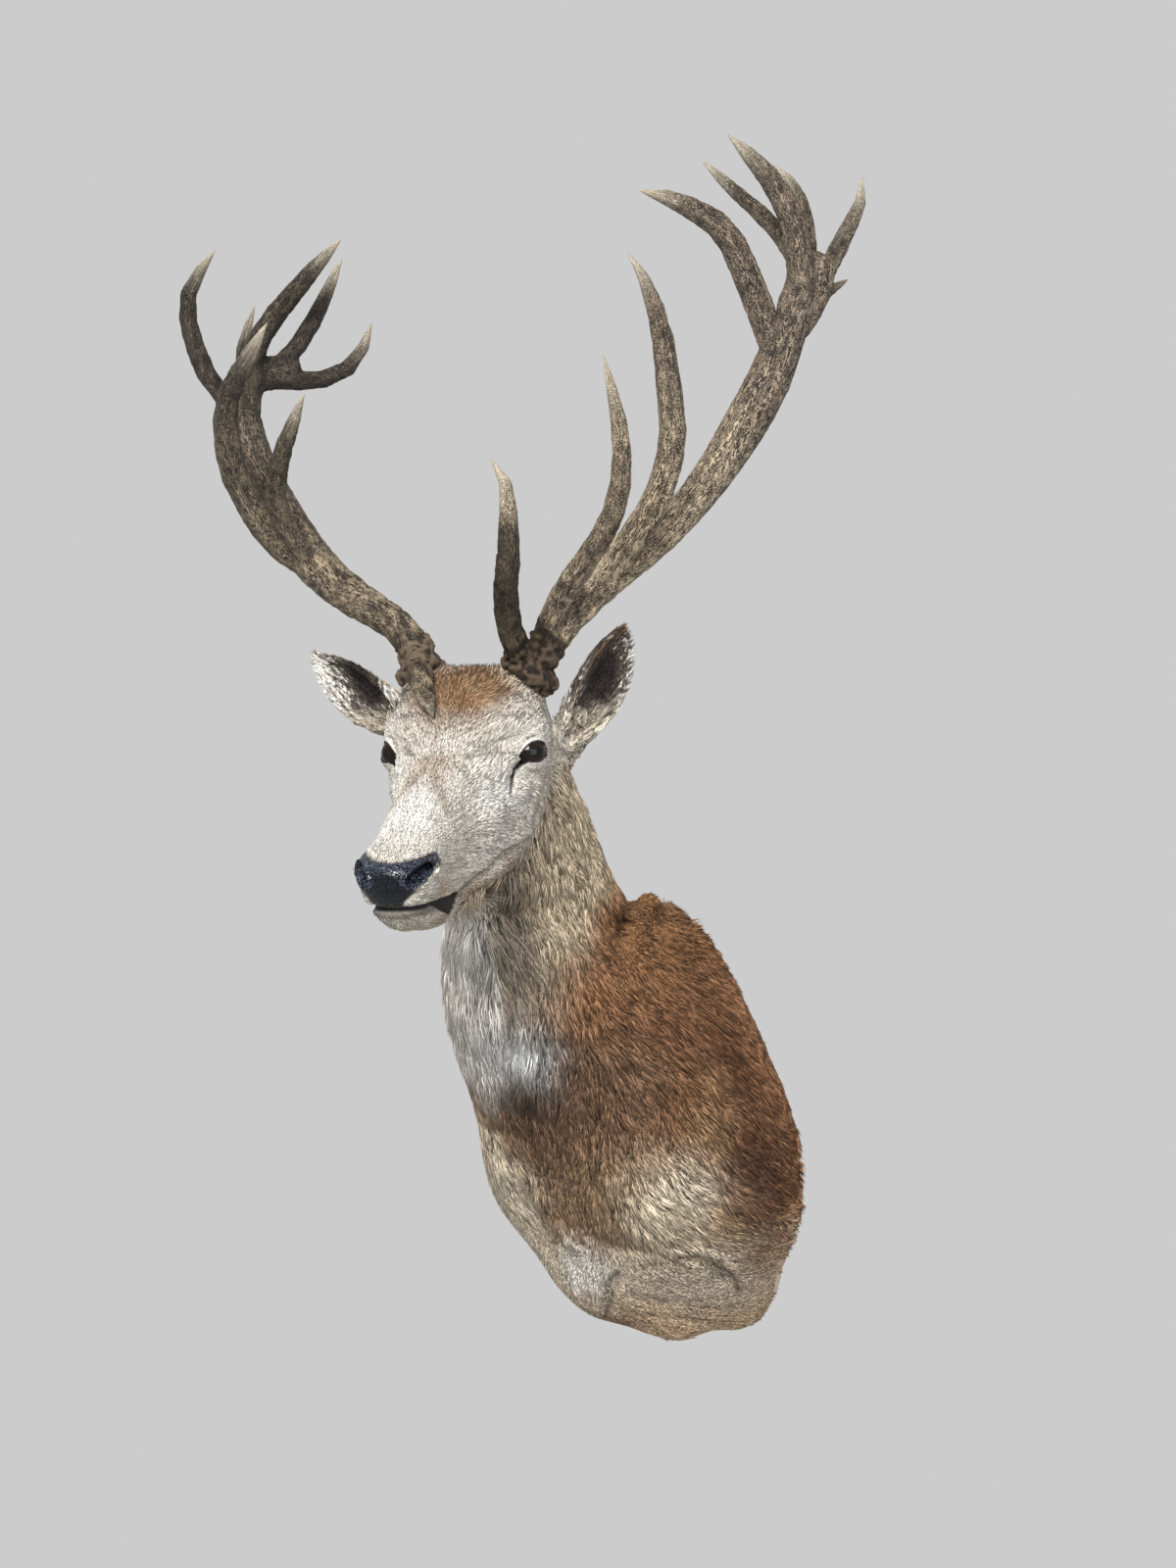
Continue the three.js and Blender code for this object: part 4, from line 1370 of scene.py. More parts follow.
# Painted shade in the brow furrow, along the side of the bridge and in the jaw groove, and along the jaw's
# edge over its tan colour; the tan along the cheek's rear edge is its colour.
FACE_LINES = (
    (FURROW_LINE, 3.0, UMBER, 0.25, 1.0),
    (BRIDGE_LINE, 7.0, FAWN, 0.45, 1.0),
    (JAW_GROOVE, 3.4, UMBER, 0.6, SIDEWAYS),
    (JAW_EDGE, 6.0, TAN, 0.6, SIDEWAYS),
    (CHEEK_REAR, 5.0, TAN, 0.4, SIDEWAYS),
)


class Markings:
    """The stag's colours, the same on the skin and on the coat."""

    NOISE = Noise(11)
    WITHERS_HEIGHTS = (200, 225, 260, 300, 340)
    WITHERS_REACH = (-190, -178, -160, -182, -200)

    def __init__(self, region: Region, normals: Array) -> None:
        """Lays the colours on each place.

        Args:
            region: The places and their masks.
            normals: The skin's normal at each place.
        """
        self.region = region
        self.normals = normals
        self.colour = np.tile(BROWN, (len(region.points), 1))
        self._body()
        self._head()
        self._ears()
        self._bare()

    def _lay(self, mask: Array, colour: Colour) -> None:
        """Lays a colour over the rest where the mask is high."""
        share = np.clip(mask, 0, 1)[:, None]
        self.colour = self.colour * (1 - share) + np.asarray(colour) * share

    def _wobbled(self, points: Array, depth: float, size: float) -> Array:
        """Places moved a little, so that the edges of the patches wander."""
        moves = [self.NOISE.layers(points + 977.0 * i, size, 2) for i in range(3)]
        return points + depth * np.stack(moves, axis=1)

    def _patches(self, places: Array, patches: Sequence[Patch], mask: Array | float = 1.0) -> None:
        """Lays soft round patches.

        Args:
            places: Where each point lies, in the patches' frame.
            patches: The middle, reach, colour and share of each patch.
            mask: Where they may lie.
        """
        for middle, reach, colour, share in patches:
            self._lay(bump_at(places, middle, reach) * share * mask, colour)

    def _body(self) -> None:
        """Neck, throat, shoulders and brisket."""
        points = self._wobbled(self.region.points, 13.0, 55.0)
        x, y, z = points.T
        side = np.abs(x)
        # The breast, the neck above the shoulders, the nape, and the throat's grey and pale bands.
        self._lay(smooth_step(-150, -215, y) * smooth_step(150, 60, z), MOUSE)
        self._lay(smooth_step(112, 216, z - 1.2 * (y + 282)), KHAKI)
        nape = np.interp(z, self.WITHERS_HEIGHTS, self.WITHERS_REACH)
        self._lay(smooth_step(-8, 10, y - nape) * smooth_step(140, 200, z), GOLD)
        throat = smooth_step(-232, -262, y) * smooth_step(20, 70, z)
        self._lay(throat * bell((x - 52) / 24) * 0.8, SMOKE)
        self._lay(throat * smooth_step(44, 26, x) * smooth_step(-74, -60, x) * 0.9, ASH)
        far_breast = smooth_step(-4, -30, x) * smooth_step(30, -30, z)
        self._lay(far_breast * smooth_step(-100, -160, y), KHAKI)
        self._patches(np.stack([side, y, z], axis=1), FLANK_PATCHES)
        # The pale brisket, its brown lower edge, painted shade in its folds and a painted highlight along
        # its crest.
        below = z - 0.12 * side
        self._lay(smooth_step(-112, -178, below) * 0.9, KHAKI)
        self._lay(smooth_step(-130, -180, below) * 0.2, ASH)
        self._lay(smooth_step(-196, -250, z) * 0.6, TAN)
        for line, colour, share in FOLD_SHADE_AND_HIGHLIGHT:
            gap = along_line(self.region.points, laid_on(self.region.points, line))[0]
            self._lay(bell(gap / 4.5) * share, colour)
        self._patches(points, CHEST_PATCHES)

    def _head(self) -> None:
        """Face, cheeks, jaw, brow and the whorl between the antlers, with painted shade along the face's
        grooves.
        """
        places, face = self.region.local, self.region.face
        local = self._wobbled(places, 4.0, 24.0)
        x, y, z = local.T
        self._lay(face, PEARL)
        self._patches(np.stack([np.abs(x), y, z], axis=1), FACE_PATCHES, face)
        whorl = bump_at(local, (-4, 10, 76), (58, 62, 46)) * face
        curls = smooth_step(-0.1, 0.5, self.NOISE.layers(self.region.points, 11.0, 2))
        self._lay(whorl * 1.5, FAWN)
        self._lay(whorl * (0.25 + 0.7 * curls), BROWN)
        # Painted shade along the face's grooves and edges, as listed in FACE_LINES.
        for side in (1, -1):
            for line, width, colour, share, flat in FACE_LINES:
                gap = along_line(places, laid_on(places, mirrored(line, side)), flat)[0]
                here = on_side(local, side, 24) | (flat == 1.0)
                self._lay(bell(gap / width) * share * face * here, colour)

    def _ears(self) -> None:
        """Brown outside, sooty inside, with pale hairs that thicken to the edges."""
        ear = self.region.ear
        local = self.region.local
        inward = HEAD.local_way(self.normals)
        side = np.abs(local[:, 0])
        z = local[:, 2]
        inside = smooth_step(-0.15, 0.25, inward[:, 1]) * ear
        outer = ear * (1 - inside)
        self._lay(outer * smooth_step(-10, 16, z), KHAKI)
        self._lay(outer * smooth_step(60, 116, z) * 0.7, BROWN)
        middle_x = np.where(local[:, 0] > 0, 127, 134) + 0.35 * (z - 74)
        gap = np.hypot((side - middle_x) / 19, (z - 76) / 44)
        pale = self.NOISE.at(self.region.points + 333.0, 2.6) * 0.9 + 0.9 * (gap - 1.3)
        self._lay(inside, SOOT)
        self._lay(inside * smooth_step(0.4, 1.0, gap) * 0.35, SMOKE)
        self._lay(inside * smooth_step(0.0, 0.5, pale) * 0.8, ASH)
        self._lay(inside * smooth_step(56, 30, z) * 0.5, CREAM)
        self._lay(4 * inside * (1 - inside) * smooth_step(30, 60, z), BROWN)
        self._lay(inside * smooth_step(112, 128, z) * 0.8, UMBER)

    def _bare(self) -> None:
        """Dark lids and lips, pale eye rings, the dark nose, and painted shade in the lid creases, tear pits
        and mouth.
        """
        local = self.region.local
        for side in (1, -1):
            forward, upward, reach = EYE.arcs(local, side)
            edge = EYE.edge(forward, upward)
            near = (reach < 36) & on_side(local, side)
            self._lay(near * bell((edge - 4.0) / 1.4) * 0.9, WHITE)
            self._lay(near * smooth_step(1.5, 0.5, edge), SOOT)
            # Painted shade in the lid's crease above the eye.
            crease = bell((edge - 6.6) / 1.1) * (upward > -2)
            self._lay(near * crease * 0.95, UMBER)
            # The tear pit painted near black: its own dark skin, with painted shade in the pit.
            gap, share = tear_gap(local, side)
            self._lay(smooth_step(4.4, 2.8, gap + 1.4 * share), NIGHT)
        gap = along_line(local, MOUTH_LINE, 0.0)[0]
        under = (local[:, 2] < -127) & (local[:, 1] > 140) & (self.region.head > 0.5)
        self._lay(bell((gap - 5.0) / 3.0) * under * 0.8, SMOKE)
        # Painted shade: the gap where the jaws part and the mouth's line are painted near black, over the
        # lips' own dark skin.
        self._lay(np.maximum(self.region.mouth, self.region.lips), NIGHT)
        self._lay(np.maximum(self.region.nose, self.region.hole()), SOOT)


# ---- the lie of the coat
# Each stroke of the comb: where it passes, which way, and how far around it counts.
Stroke = tuple[Spot, Spot, float]
HEAD_STROKES: tuple[Stroke, ...] = (
    ((0, 215, -70), (0.25, -1.0, 0.35), 22),
    ((0, 150, -20), (0.12, -1.0, 0.5), 30),
    ((0, 80, 25), (0.10, -1.0, 0.4), 30),
    ((20, 40, 50), (0.5, -0.9, 0.3), 26),
    ((34, 150, -60), (0.1, -1.0, 0.1), 26),
    ((42, 100, -40), (0.2, -1.0, 0.35), 26),
    ((60, 60, -10), (0.3, -0.8, 0.9), 20),
    ((56, 60, -50), (0.3, -1.0, 0.05), 26),
    ((60, 36, 30), (0.45, -0.6, 0.9), 20),
    ((80, 10, 34), (0.2, -1.0, 0.5), 20),
    ((84, 8, -28), (0.1, -1.0, -0.35), 20),
    ((74, 30, -24), (0.2, -0.9, -0.5), 16),
    ((84, -30, 10), (0.1, -1.0, 0.2), 28),
    ((80, -20, -50), (0.1, -0.9, -0.6), 34),
    ((60, 40, -100), (0.2, -1.0, -0.25), 34),
    ((50, 100, -100), (0.1, -1.0, -0.2), 30),
    ((34, 170, -110), (0.1, -1.0, -0.1), 24),
    ((20, 190, -148), (0.3, -1.0, -0.3), 24),
    ((20, 110, -148), (0.2, -1.0, -0.1), 34),
    ((50, 20, -146), (0.1, -0.9, -0.7), 34),
    ((70, -60, -80), (0.0, -0.7, -1.0), 40),
    ((74, -80, 20), (0.2, -1.0, -0.2), 30),
    ((40, -100, 70), (0.1, -1.0, -0.5), 40),
    ((0, -60, 98), (0.0, -1.0, 0.1), 30),
)
BODY_STROKES: tuple[Stroke, ...] = (
    ((0, -430, 330), (0.0, 0.2, -1.0), 90),
    ((0, -410, 200), (0.05, 0.1, -1.0), 90),
    ((0, -310, 60), (0.08, 0.2, -1.0), 80),
    ((100, -300, 200), (0.0, 0.3, -1.0), 80),
    ((96, -230, 300), (0.0, 0.35, -1.0), 80),
    ((60, -180, 330), (0.0, 0.5, -0.9), 70),
    ((0, -60, 236), (0.1, 1.0, -0.1), 60),
    ((110, -110, 190), (0.2, 0.9, -0.8), 80),
    ((160, -90, 110), (0.2, 0.7, -0.9), 80),
    ((200, -100, 0), (0.0, 0.6, -1.0), 80),
    ((206, -70, -110), (0.0, 1.0, -0.35), 70),
    ((170, -150, -60), (0.3, 0.8, -0.9), 60),
    ((140, -160, -130), (0.2, 1.0, -0.2), 60),
    ((60, -230, -60), (-0.25, 0.4, -1.0), 60),
    ((50, -200, -150), (-0.45, 0.5, -0.9), 50),
    ((120, -110, -200), (0.5, 0.9, -0.2), 60),
    ((60, -100, -255), (0.5, 0.9, -0.3), 50),
    ((160, -40, -200), (0.3, 1.0, 0.2), 50),
)


class Comb:
    """The way the hair lies at each place of the skin."""

    NOISE = Noise(23)
    SWAY = 0.30

    def __init__(self, region: Region, normals: Array) -> None:
        """Works out the way at each place.

        Args:
            region: The places and their masks.
            normals: The skin's normal at each place.
        """
        self.region = region
        body = self._blend(region.points, BODY_STROKES)
        head = HEAD.way(self._blend(region.local, HEAD_STROKES))
        share = smooth_step(0.1, 0.8, region.face)[:, None]
        self.way = unit(body) * (1 - share) + unit(head) * share
        self._ears(smooth_step(0.0, 0.35, HEAD.local_way(normals)[:, 1]))
        self._whorl()
        calm = 1 - 0.6 * region.face
        sway = self.NOISE.layers(region.points, 34.0, 3) * self.SWAY * calm
        across = np.cross(normals, self.way)
        flat = self.way - dot(self.way, normals)[:, None] * normals
        self.way = unit(unit(flat) + across * sway[:, None])

    @staticmethod
    def _blend(points: Array, strokes: Sequence[Stroke]) -> Array:
        """The mean of the strokes near each place, on both sides alike.

        Args:
            points: The places, in the strokes' frame.
            strokes: The strokes of one side.

        Returns:
            A direction at each place, not at length one.
        """
        total = np.zeros_like(points)
        for flip in (1, -1):
            for place, way, reach in strokes:
                gap = np.linalg.norm(points - mirrored(place, flip), axis=1) / reach
                weight = bell(gap) + 1e-4 / (1 + gap**4)
                total += mirrored(unit(np.array(way)), flip) * weight[:, None]
        return total

    def _ears(self, inside: Array) -> None:
        """Combs the ears from root to tip, and inside out to the edges.

        Args:
            inside: 1 on the hollow side of an ear, 0 on its back.
        """
        local, side = self.region.local, self.region.side
        middle = np.where(side > 0, 126, 134) + 0.4 * (local[:, 2] - 74)
        spread = np.clip((np.abs(local[:, 0]) - middle) / 22, -1, 1)
        lengthwise = np.tile((0.0, 0.1, 0.8), (len(side), 1))
        lengthwise[:, 0] = (0.62 + 0.35 * spread * inside) * side
        self._mix(self.region.ear, lengthwise)

    def _whorl(self) -> None:
        """Combs the swirl of hair between the antlers."""
        gap = self.region.local - np.array([8.0, 22.0, 76.0])
        turning = np.cross(np.array([0.0, 0.45, 0.9]), gap) + 0.35 * gap
        self._mix(bump_at(self.region.local, (6, 20, 78), (42, 34, 26)), unit(turning))

    def _mix(self, mask: Array, way: Array) -> None:
        """Turns the hair to a way of the head where the mask is high."""
        self.way = self.way * (1 - mask[:, None]) + HEAD.way(way) * mask[:, None]


# ---- the coat
@dataclass(frozen=True)
class Cut:
    """How long, wide and thick the tufts grow, and how the face and body differ."""

    body_length: float = 23.0
    throat_extra: float = 22.0
    brisket_length: float = 8.0
    face_length: float = 12.5
    muzzle_length: float = 7.5
    body_width: float = 1.7
    throat_width: float = 1.5
    face_width: float = 1.5
    muzzle_width: float = 1.15
    body_area: float = 3.5
    face_area: float = 2.1

    def length(self, region: Region) -> Array:
        """The length of the tufts.

        Args:
            region: The places where they grow.

        Returns:
            A length at each place, in millimetres.
        """
        points, local = region.points, region.local
        throat = bump_at(points, *THROAT_TUFT)
        out = self.body_length + self.throat_extra * throat
        out = toward(out, self.brisket_length, smooth_step(-100, -170, points[:, 2]))
        out = toward(out, self.face_length, region.face)
        out = toward(out, self.muzzle_length, region.muzzle)
        out = out + 9.0 * bump_at(local, *BROW_CURLS)
        out = out + 5.0 * bump_at(local, (0, -90, 60), (90, 50, 70))
        for side in (1, -1):
            gap = np.linalg.norm(local - HEAD.eye(side), axis=1)
            out = out * (1 - 0.62 * smooth_step(40, 25, gap))
            out = out * (0.2 + 0.8 * smooth_step(2, 13, tear_gap(local, side)[0]))
            out = out * (1 - 0.7 * bump_at(local, (94 * side, -92, -4), (26, 26, 28)))
            jaw = along_line(local, laid_on(local, mirrored(JAW_GROOVE, side)), SIDEWAYS)[0]
            out = out * (1 - 0.5 * bell(jaw / 9.0) * on_side(local, side, 24))
        notch = along_line(points, laid_on(points, WITHERS_NOTCH))[0]
        out = out * (1 - 0.8 * bell(notch / 30.0))
        for fold in (BRISKET_FOLD, KEEL_FOLD):
            gap = along_line(points, laid_on(points, fold))[0]
            out = out * (1 - 0.7 * bell(gap / 9.0))
        mouth = along_line(local, MOUTH_LINE, 0.0)[0]
        out = out * np.where(local[:, 1] > 100, 0.4 + 0.6 * smooth_step(2, 9, mouth), 1.0)
        out = out - 4.0 * region.ear
        return out * (1 - 0.45 * region.wall)

    def width(self, region: Region) -> Array:
        """The width of the tufts.

        Args:
            region: The places where they grow.

        Returns:
            A width at each place, in millimetres.
        """
        throat = bump_at(region.points, *THROAT_TUFT)
        out = toward(self.body_width, self.throat_width, throat)
        out = toward(out, self.face_width, region.face)
        return toward(out, self.muzzle_width, region.muzzle)

    def area(self, region: Region) -> Array:
        """The skin that one tuft has to cover, in square millimetres."""
        out = toward(self.body_area, self.face_area, region.face)
        return out * (1 - 0.3 * region.muzzle)


@dataclass
class Coat:
    """Tufts over the skin, in pieces."""

    NOISE = Noise(31)

    skin: Piece
    bare: Array
    cut: Cut = Cut()
    seed: int = 5
    most_tufts: int = 32_000
    widest: float = 0.36
    thickness: float = 0.42
    patch: float = 0.003
    pressed: float = 0.95

    def __post_init__(self) -> None:
        """Reads the skin and chooses the roots."""
        self.rng = np.random.default_rng(self.seed)
        self.points = points_of(self.skin)
        self.normals = normals_of(self.skin)
        self._plant()

    def _plant(self) -> None:
        """Chooses the roots, spread evenly for the area each tuft covers."""
        region = Region(self.points)
        comb = Comb(region, self.normals).way
        triangles = triangles_of(self.skin)
        corners = self.points[triangles]
        crosses = np.cross(corners[:, 1] - corners[:, 0], corners[:, 2] - corners[:, 0])
        areas = np.linalg.norm(crosses, axis=1) / 2
        density = (1 - self.bare) / self.cut.area(region)
        weights = areas * density[triangles].mean(axis=1) * (self.bare[triangles].max(axis=1) < 0.9)
        steps = np.cumsum(weights)
        count = int(steps[-1])
        marks = (np.arange(count) + self.rng.random(count)) / count * steps[-1]
        chosen = np.minimum(np.searchsorted(steps, marks), len(steps) - 1)
        shares = self.rng.random((count, 2))
        flip = shares.sum(axis=1) > 1
        shares[flip] = 1 - shares[flip]
        shares = np.column_stack([1 - shares.sum(axis=1), shares])
        picked = triangles[chosen]

        def at(values: Array) -> Array:
            """Values of the skin at the roots."""
            return (values[picked] * shares[:, :, None]).sum(axis=1)

        self.roots = at(self.points)
        self.ups = unit(at(self.normals))
        way = at(comb)
        self.ways = unit(way - dot(way, self.ups)[:, None] * self.ups)
        self.region = Region(self.roots)

    def build(self, material: Material) -> None:
        """Grows every piece of the coat.

        Args:
            material: The coat's finish.
        """
        self._shape()
        labels = self._labels()
        for name in sorted(set(labels.tolist())):
            members = np.flatnonzero(labels == name)
            parts = math.ceil(len(members) / self.most_tufts)
            order = members[np.argsort(self.roots[members, 2], kind="stable")]
            for i, chunk in enumerate(np.array_split(order, parts)):
                title = f"coat_{name}_{i + 1}" if parts > 1 else f"coat_{name}"
                self._piece(title, chunk, material)

    def _labels(self) -> Array:
        """The part that each tuft belongs to.

        Returns:
            Its name.
        """
        region = self.region
        x, y, z = self.roots.T
        side = np.where(region.local[:, 0] > 0, "left", "right")
        body_side = np.where(x > 0, "left", "right")
        names = np.char.add("shoulder_", body_side)
        neck = z > 96 - 0.47 * (-y - 330)
        names = np.where(neck, np.char.add("neck_", body_side), names)
        names = np.where(z < -168, "brisket", names)
        names = np.where(region.head > 0.5, np.char.add("head_", side), names)
        return np.where(region.ear > 0.5, np.char.add("ear_", side), names)

    def _shape(self) -> None:
        """Settles each tuft's length, width, lift, sway and shade."""
        count = len(self.roots)
        rng, region = self.rng, self.region
        self.lengths = self.cut.length(region) * rng.uniform(0.72, 1.25, count)
        self.widths = self.cut.width(region) * rng.uniform(0.7, 1.3, count)
        ruff = bump_at(region.points, (0, -40, 242), (54, 26, 22))
        whorl = bump_at(region.local, *BROW_CURLS)
        self.lifts = 0.24 + 0.5 * ruff + 0.35 * whorl + rng.uniform(-0.05, 0.10, count)
        self.lifts *= 1 - 0.4 * smooth_step(-60, -20, region.points[:, 1]) * (ruff < 0.2)
        clump = self.NOISE.layers(self.roots, 15.0, 2) * 0.30 * (1 - 0.7 * region.face)
        self.sways = clump + rng.normal(0, 0.10, count)
        strands = np.where(region.face > 0.5, self._strands(1.6, 8.0), self._strands(1.7, 12.0))
        self.lifts += 0.03 * strands
        self.lifts -= 0.06 * region.face * (1 - region.ear)
        tones = 0.57 + 0.22 * rng.normal(size=count) + 0.22 * strands
        calm = 0.64 * region.face * (1 - region.ear)
        calm = np.maximum(calm, 0.35 * smooth_step(-110, -180, region.points[:, 2]))
        self.tones = np.clip(tones * (1 - calm) + 0.47 * calm, 0.02, 1.15)
        self.colours = Markings(region, self.ups).colour

    def _strands(self, size: float, reach: float) -> Array:
        """Noise drawn out along the hair, so that neighbours in one lock are alike.

        Args:
            size: The width of a lock, in millimetres.
            reach: Half of its length.

        Returns:
            Values with a spread of one.
        """
        steps = np.linspace(-reach, reach, 7)
        total = sum(self.NOISE.at(self.roots + 500.0 + self.ways * step, size) for step in steps)
        return total / total.std()

    def _piece(self, name: str, chosen: Array, material: Material) -> None:
        """Makes one piece of the coat.

        Args:
            name: The piece's name.
            chosen: The tufts that belong to it.
            material: The coat's finish.
        """
        width = self.widths[chosen][:, None]
        up = self.ups[chosen]
        across = np.cross(up, self.ways[chosen])
        middle = self._spine(chosen, across, self.widest)
        half = across * width / 2
        crest = middle + up * width * self.thickness
        tip = self._spine(chosen, across, 1.0)
        root = self._spine(chosen, across, 0.0)
        points = np.stack((root, middle - half, middle + half, crest, tip), axis=1)
        points[..., 1] -= self.pressed * np.maximum(points[..., 1] + 1.5, 0)
        per = points.shape[1]
        pattern = np.array([(0, 1, 2), (0, 2, 3), (0, 3, 1), (4, 2, 1), (4, 3, 2), (4, 1, 3)])
        faces = pattern[None] + per * np.arange(len(chosen))[:, None, None]
        obj = mesh_object(name, points.reshape(-1, 3), faces.reshape(-1, 3)[:, ::-1])
        shares = np.array([0, self.widest, self.widest, self.widest, 1.0])
        put(obj, "along", np.tile(shares, len(chosen)))
        put(obj, "tone", np.repeat(self.tones[chosen], per))
        put(obj, "marking", np.repeat(self.colours[chosen], per, axis=0))
        on_head = "head" in name or "ear" in name
        self._unwrap(obj, chosen, shares, on_head)
        hand_over(obj, material, Slot.HEAD_HAIR if on_head else Slot.BODY_HAIR)

    def _spine(self, chosen: Array, across: Array, t: float) -> Array:
        """A place on the middle line of each tuft.

        Args:
            chosen: The tufts.
            across: The way across each.
            t: The share of the length.

        Returns:
            The places, in millimetres.
        """
        rise = self.lifts[chosen][:, None] * t * (1.55 - t) - 0.03
        sway = across * self.sways[chosen][:, None] * t**2
        bend = self.ways[chosen] * t + self.ups[chosen] * rise + sway
        return self.roots[chosen] + self.lengths[chosen][:, None] * bend

    def _unwrap(self, obj: Piece, chosen: Array, shares: Array, on_head: bool) -> None:
        """Gives each tuft a small patch at its root's place on the skin unrolled.

        Args:
            obj: The piece.
            chosen: Its tufts.
            shares: The share of the length at each vertex of a tuft.
            on_head: Whether they grow on the head.
        """
        local, root = self.region.local[chosen], self.roots[chosen]
        if on_head:
            turn = np.arctan2(local[:, 0], -(local[:, 2] + 40))
            along = local[:, 1] + 0.4 * local[:, 2] * ("ear" in obj.name)
        else:
            turn = np.arctan2(root[:, 0], root[:, 1] + 120)
            along = root[:, 2]
        flat = np.stack([turn, along], axis=1)
        low, high = flat.min(axis=0), flat.max(axis=0)
        flat = 0.01 + 0.98 * (flat - low) / (high - low)
        sides = np.array([0, -1, 1, 0, 0.0])
        patch = np.stack([sides * 0.5, shares - 0.5], axis=1) * self.patch
        places = (flat[:, None, :] + patch[None]).reshape(-1, 2)
        layer = obj.data.uv_layers.new(name="OFBake")
        corners = read_all(obj.data.loops, "vertex_index", 1, np.int32).ravel()
        layer.data.foreach_set("uv", places[corners].astype(np.float32).ravel())


# ---- antlers
def walk(points: Array, edges: Array, starts: dict[int, float]) -> Array:
    """The shortest way over the surface from any of the starts.

    Args:
        points: The vertices, in millimetres.
        edges: The two vertices of each edge.
        starts: The vertices where the walk begins, and the length each has already.

    Returns:
        The length of the way to each vertex.
    """
    lengths = np.linalg.norm(points[edges[:, 0]] - points[edges[:, 1]], axis=1)
    tails = np.concatenate([edges[:, 0], edges[:, 1]])
    heads = np.concatenate([edges[:, 1], edges[:, 0]])
    order = np.argsort(tails, kind="stable")
    heads = heads[order].tolist()
    costs = np.concatenate([lengths, lengths])[order].tolist()
    first = np.searchsorted(tails[order], np.arange(len(points) + 1)).tolist()
    best = [math.inf] * len(points)
    queue = []
    for start, length in starts.items():
        best[start] = length
        queue.append((length, start))
    heapq.heapify(queue)
    while queue:
        reach, here = heapq.heappop(queue)
        if reach > best[here]:
            continue
        for i in range(first[here], first[here + 1]):
            new = reach + costs[i]
            if new < best[heads[i]]:
                best[heads[i]] = new
                heapq.heappush(queue, (new, heads[i]))
    return np.array(best)


DARK_TINES = (("left_brow_tine", 0.85), ("left_bez_tine", 0.5), ("left_trez_tine", 0.2))


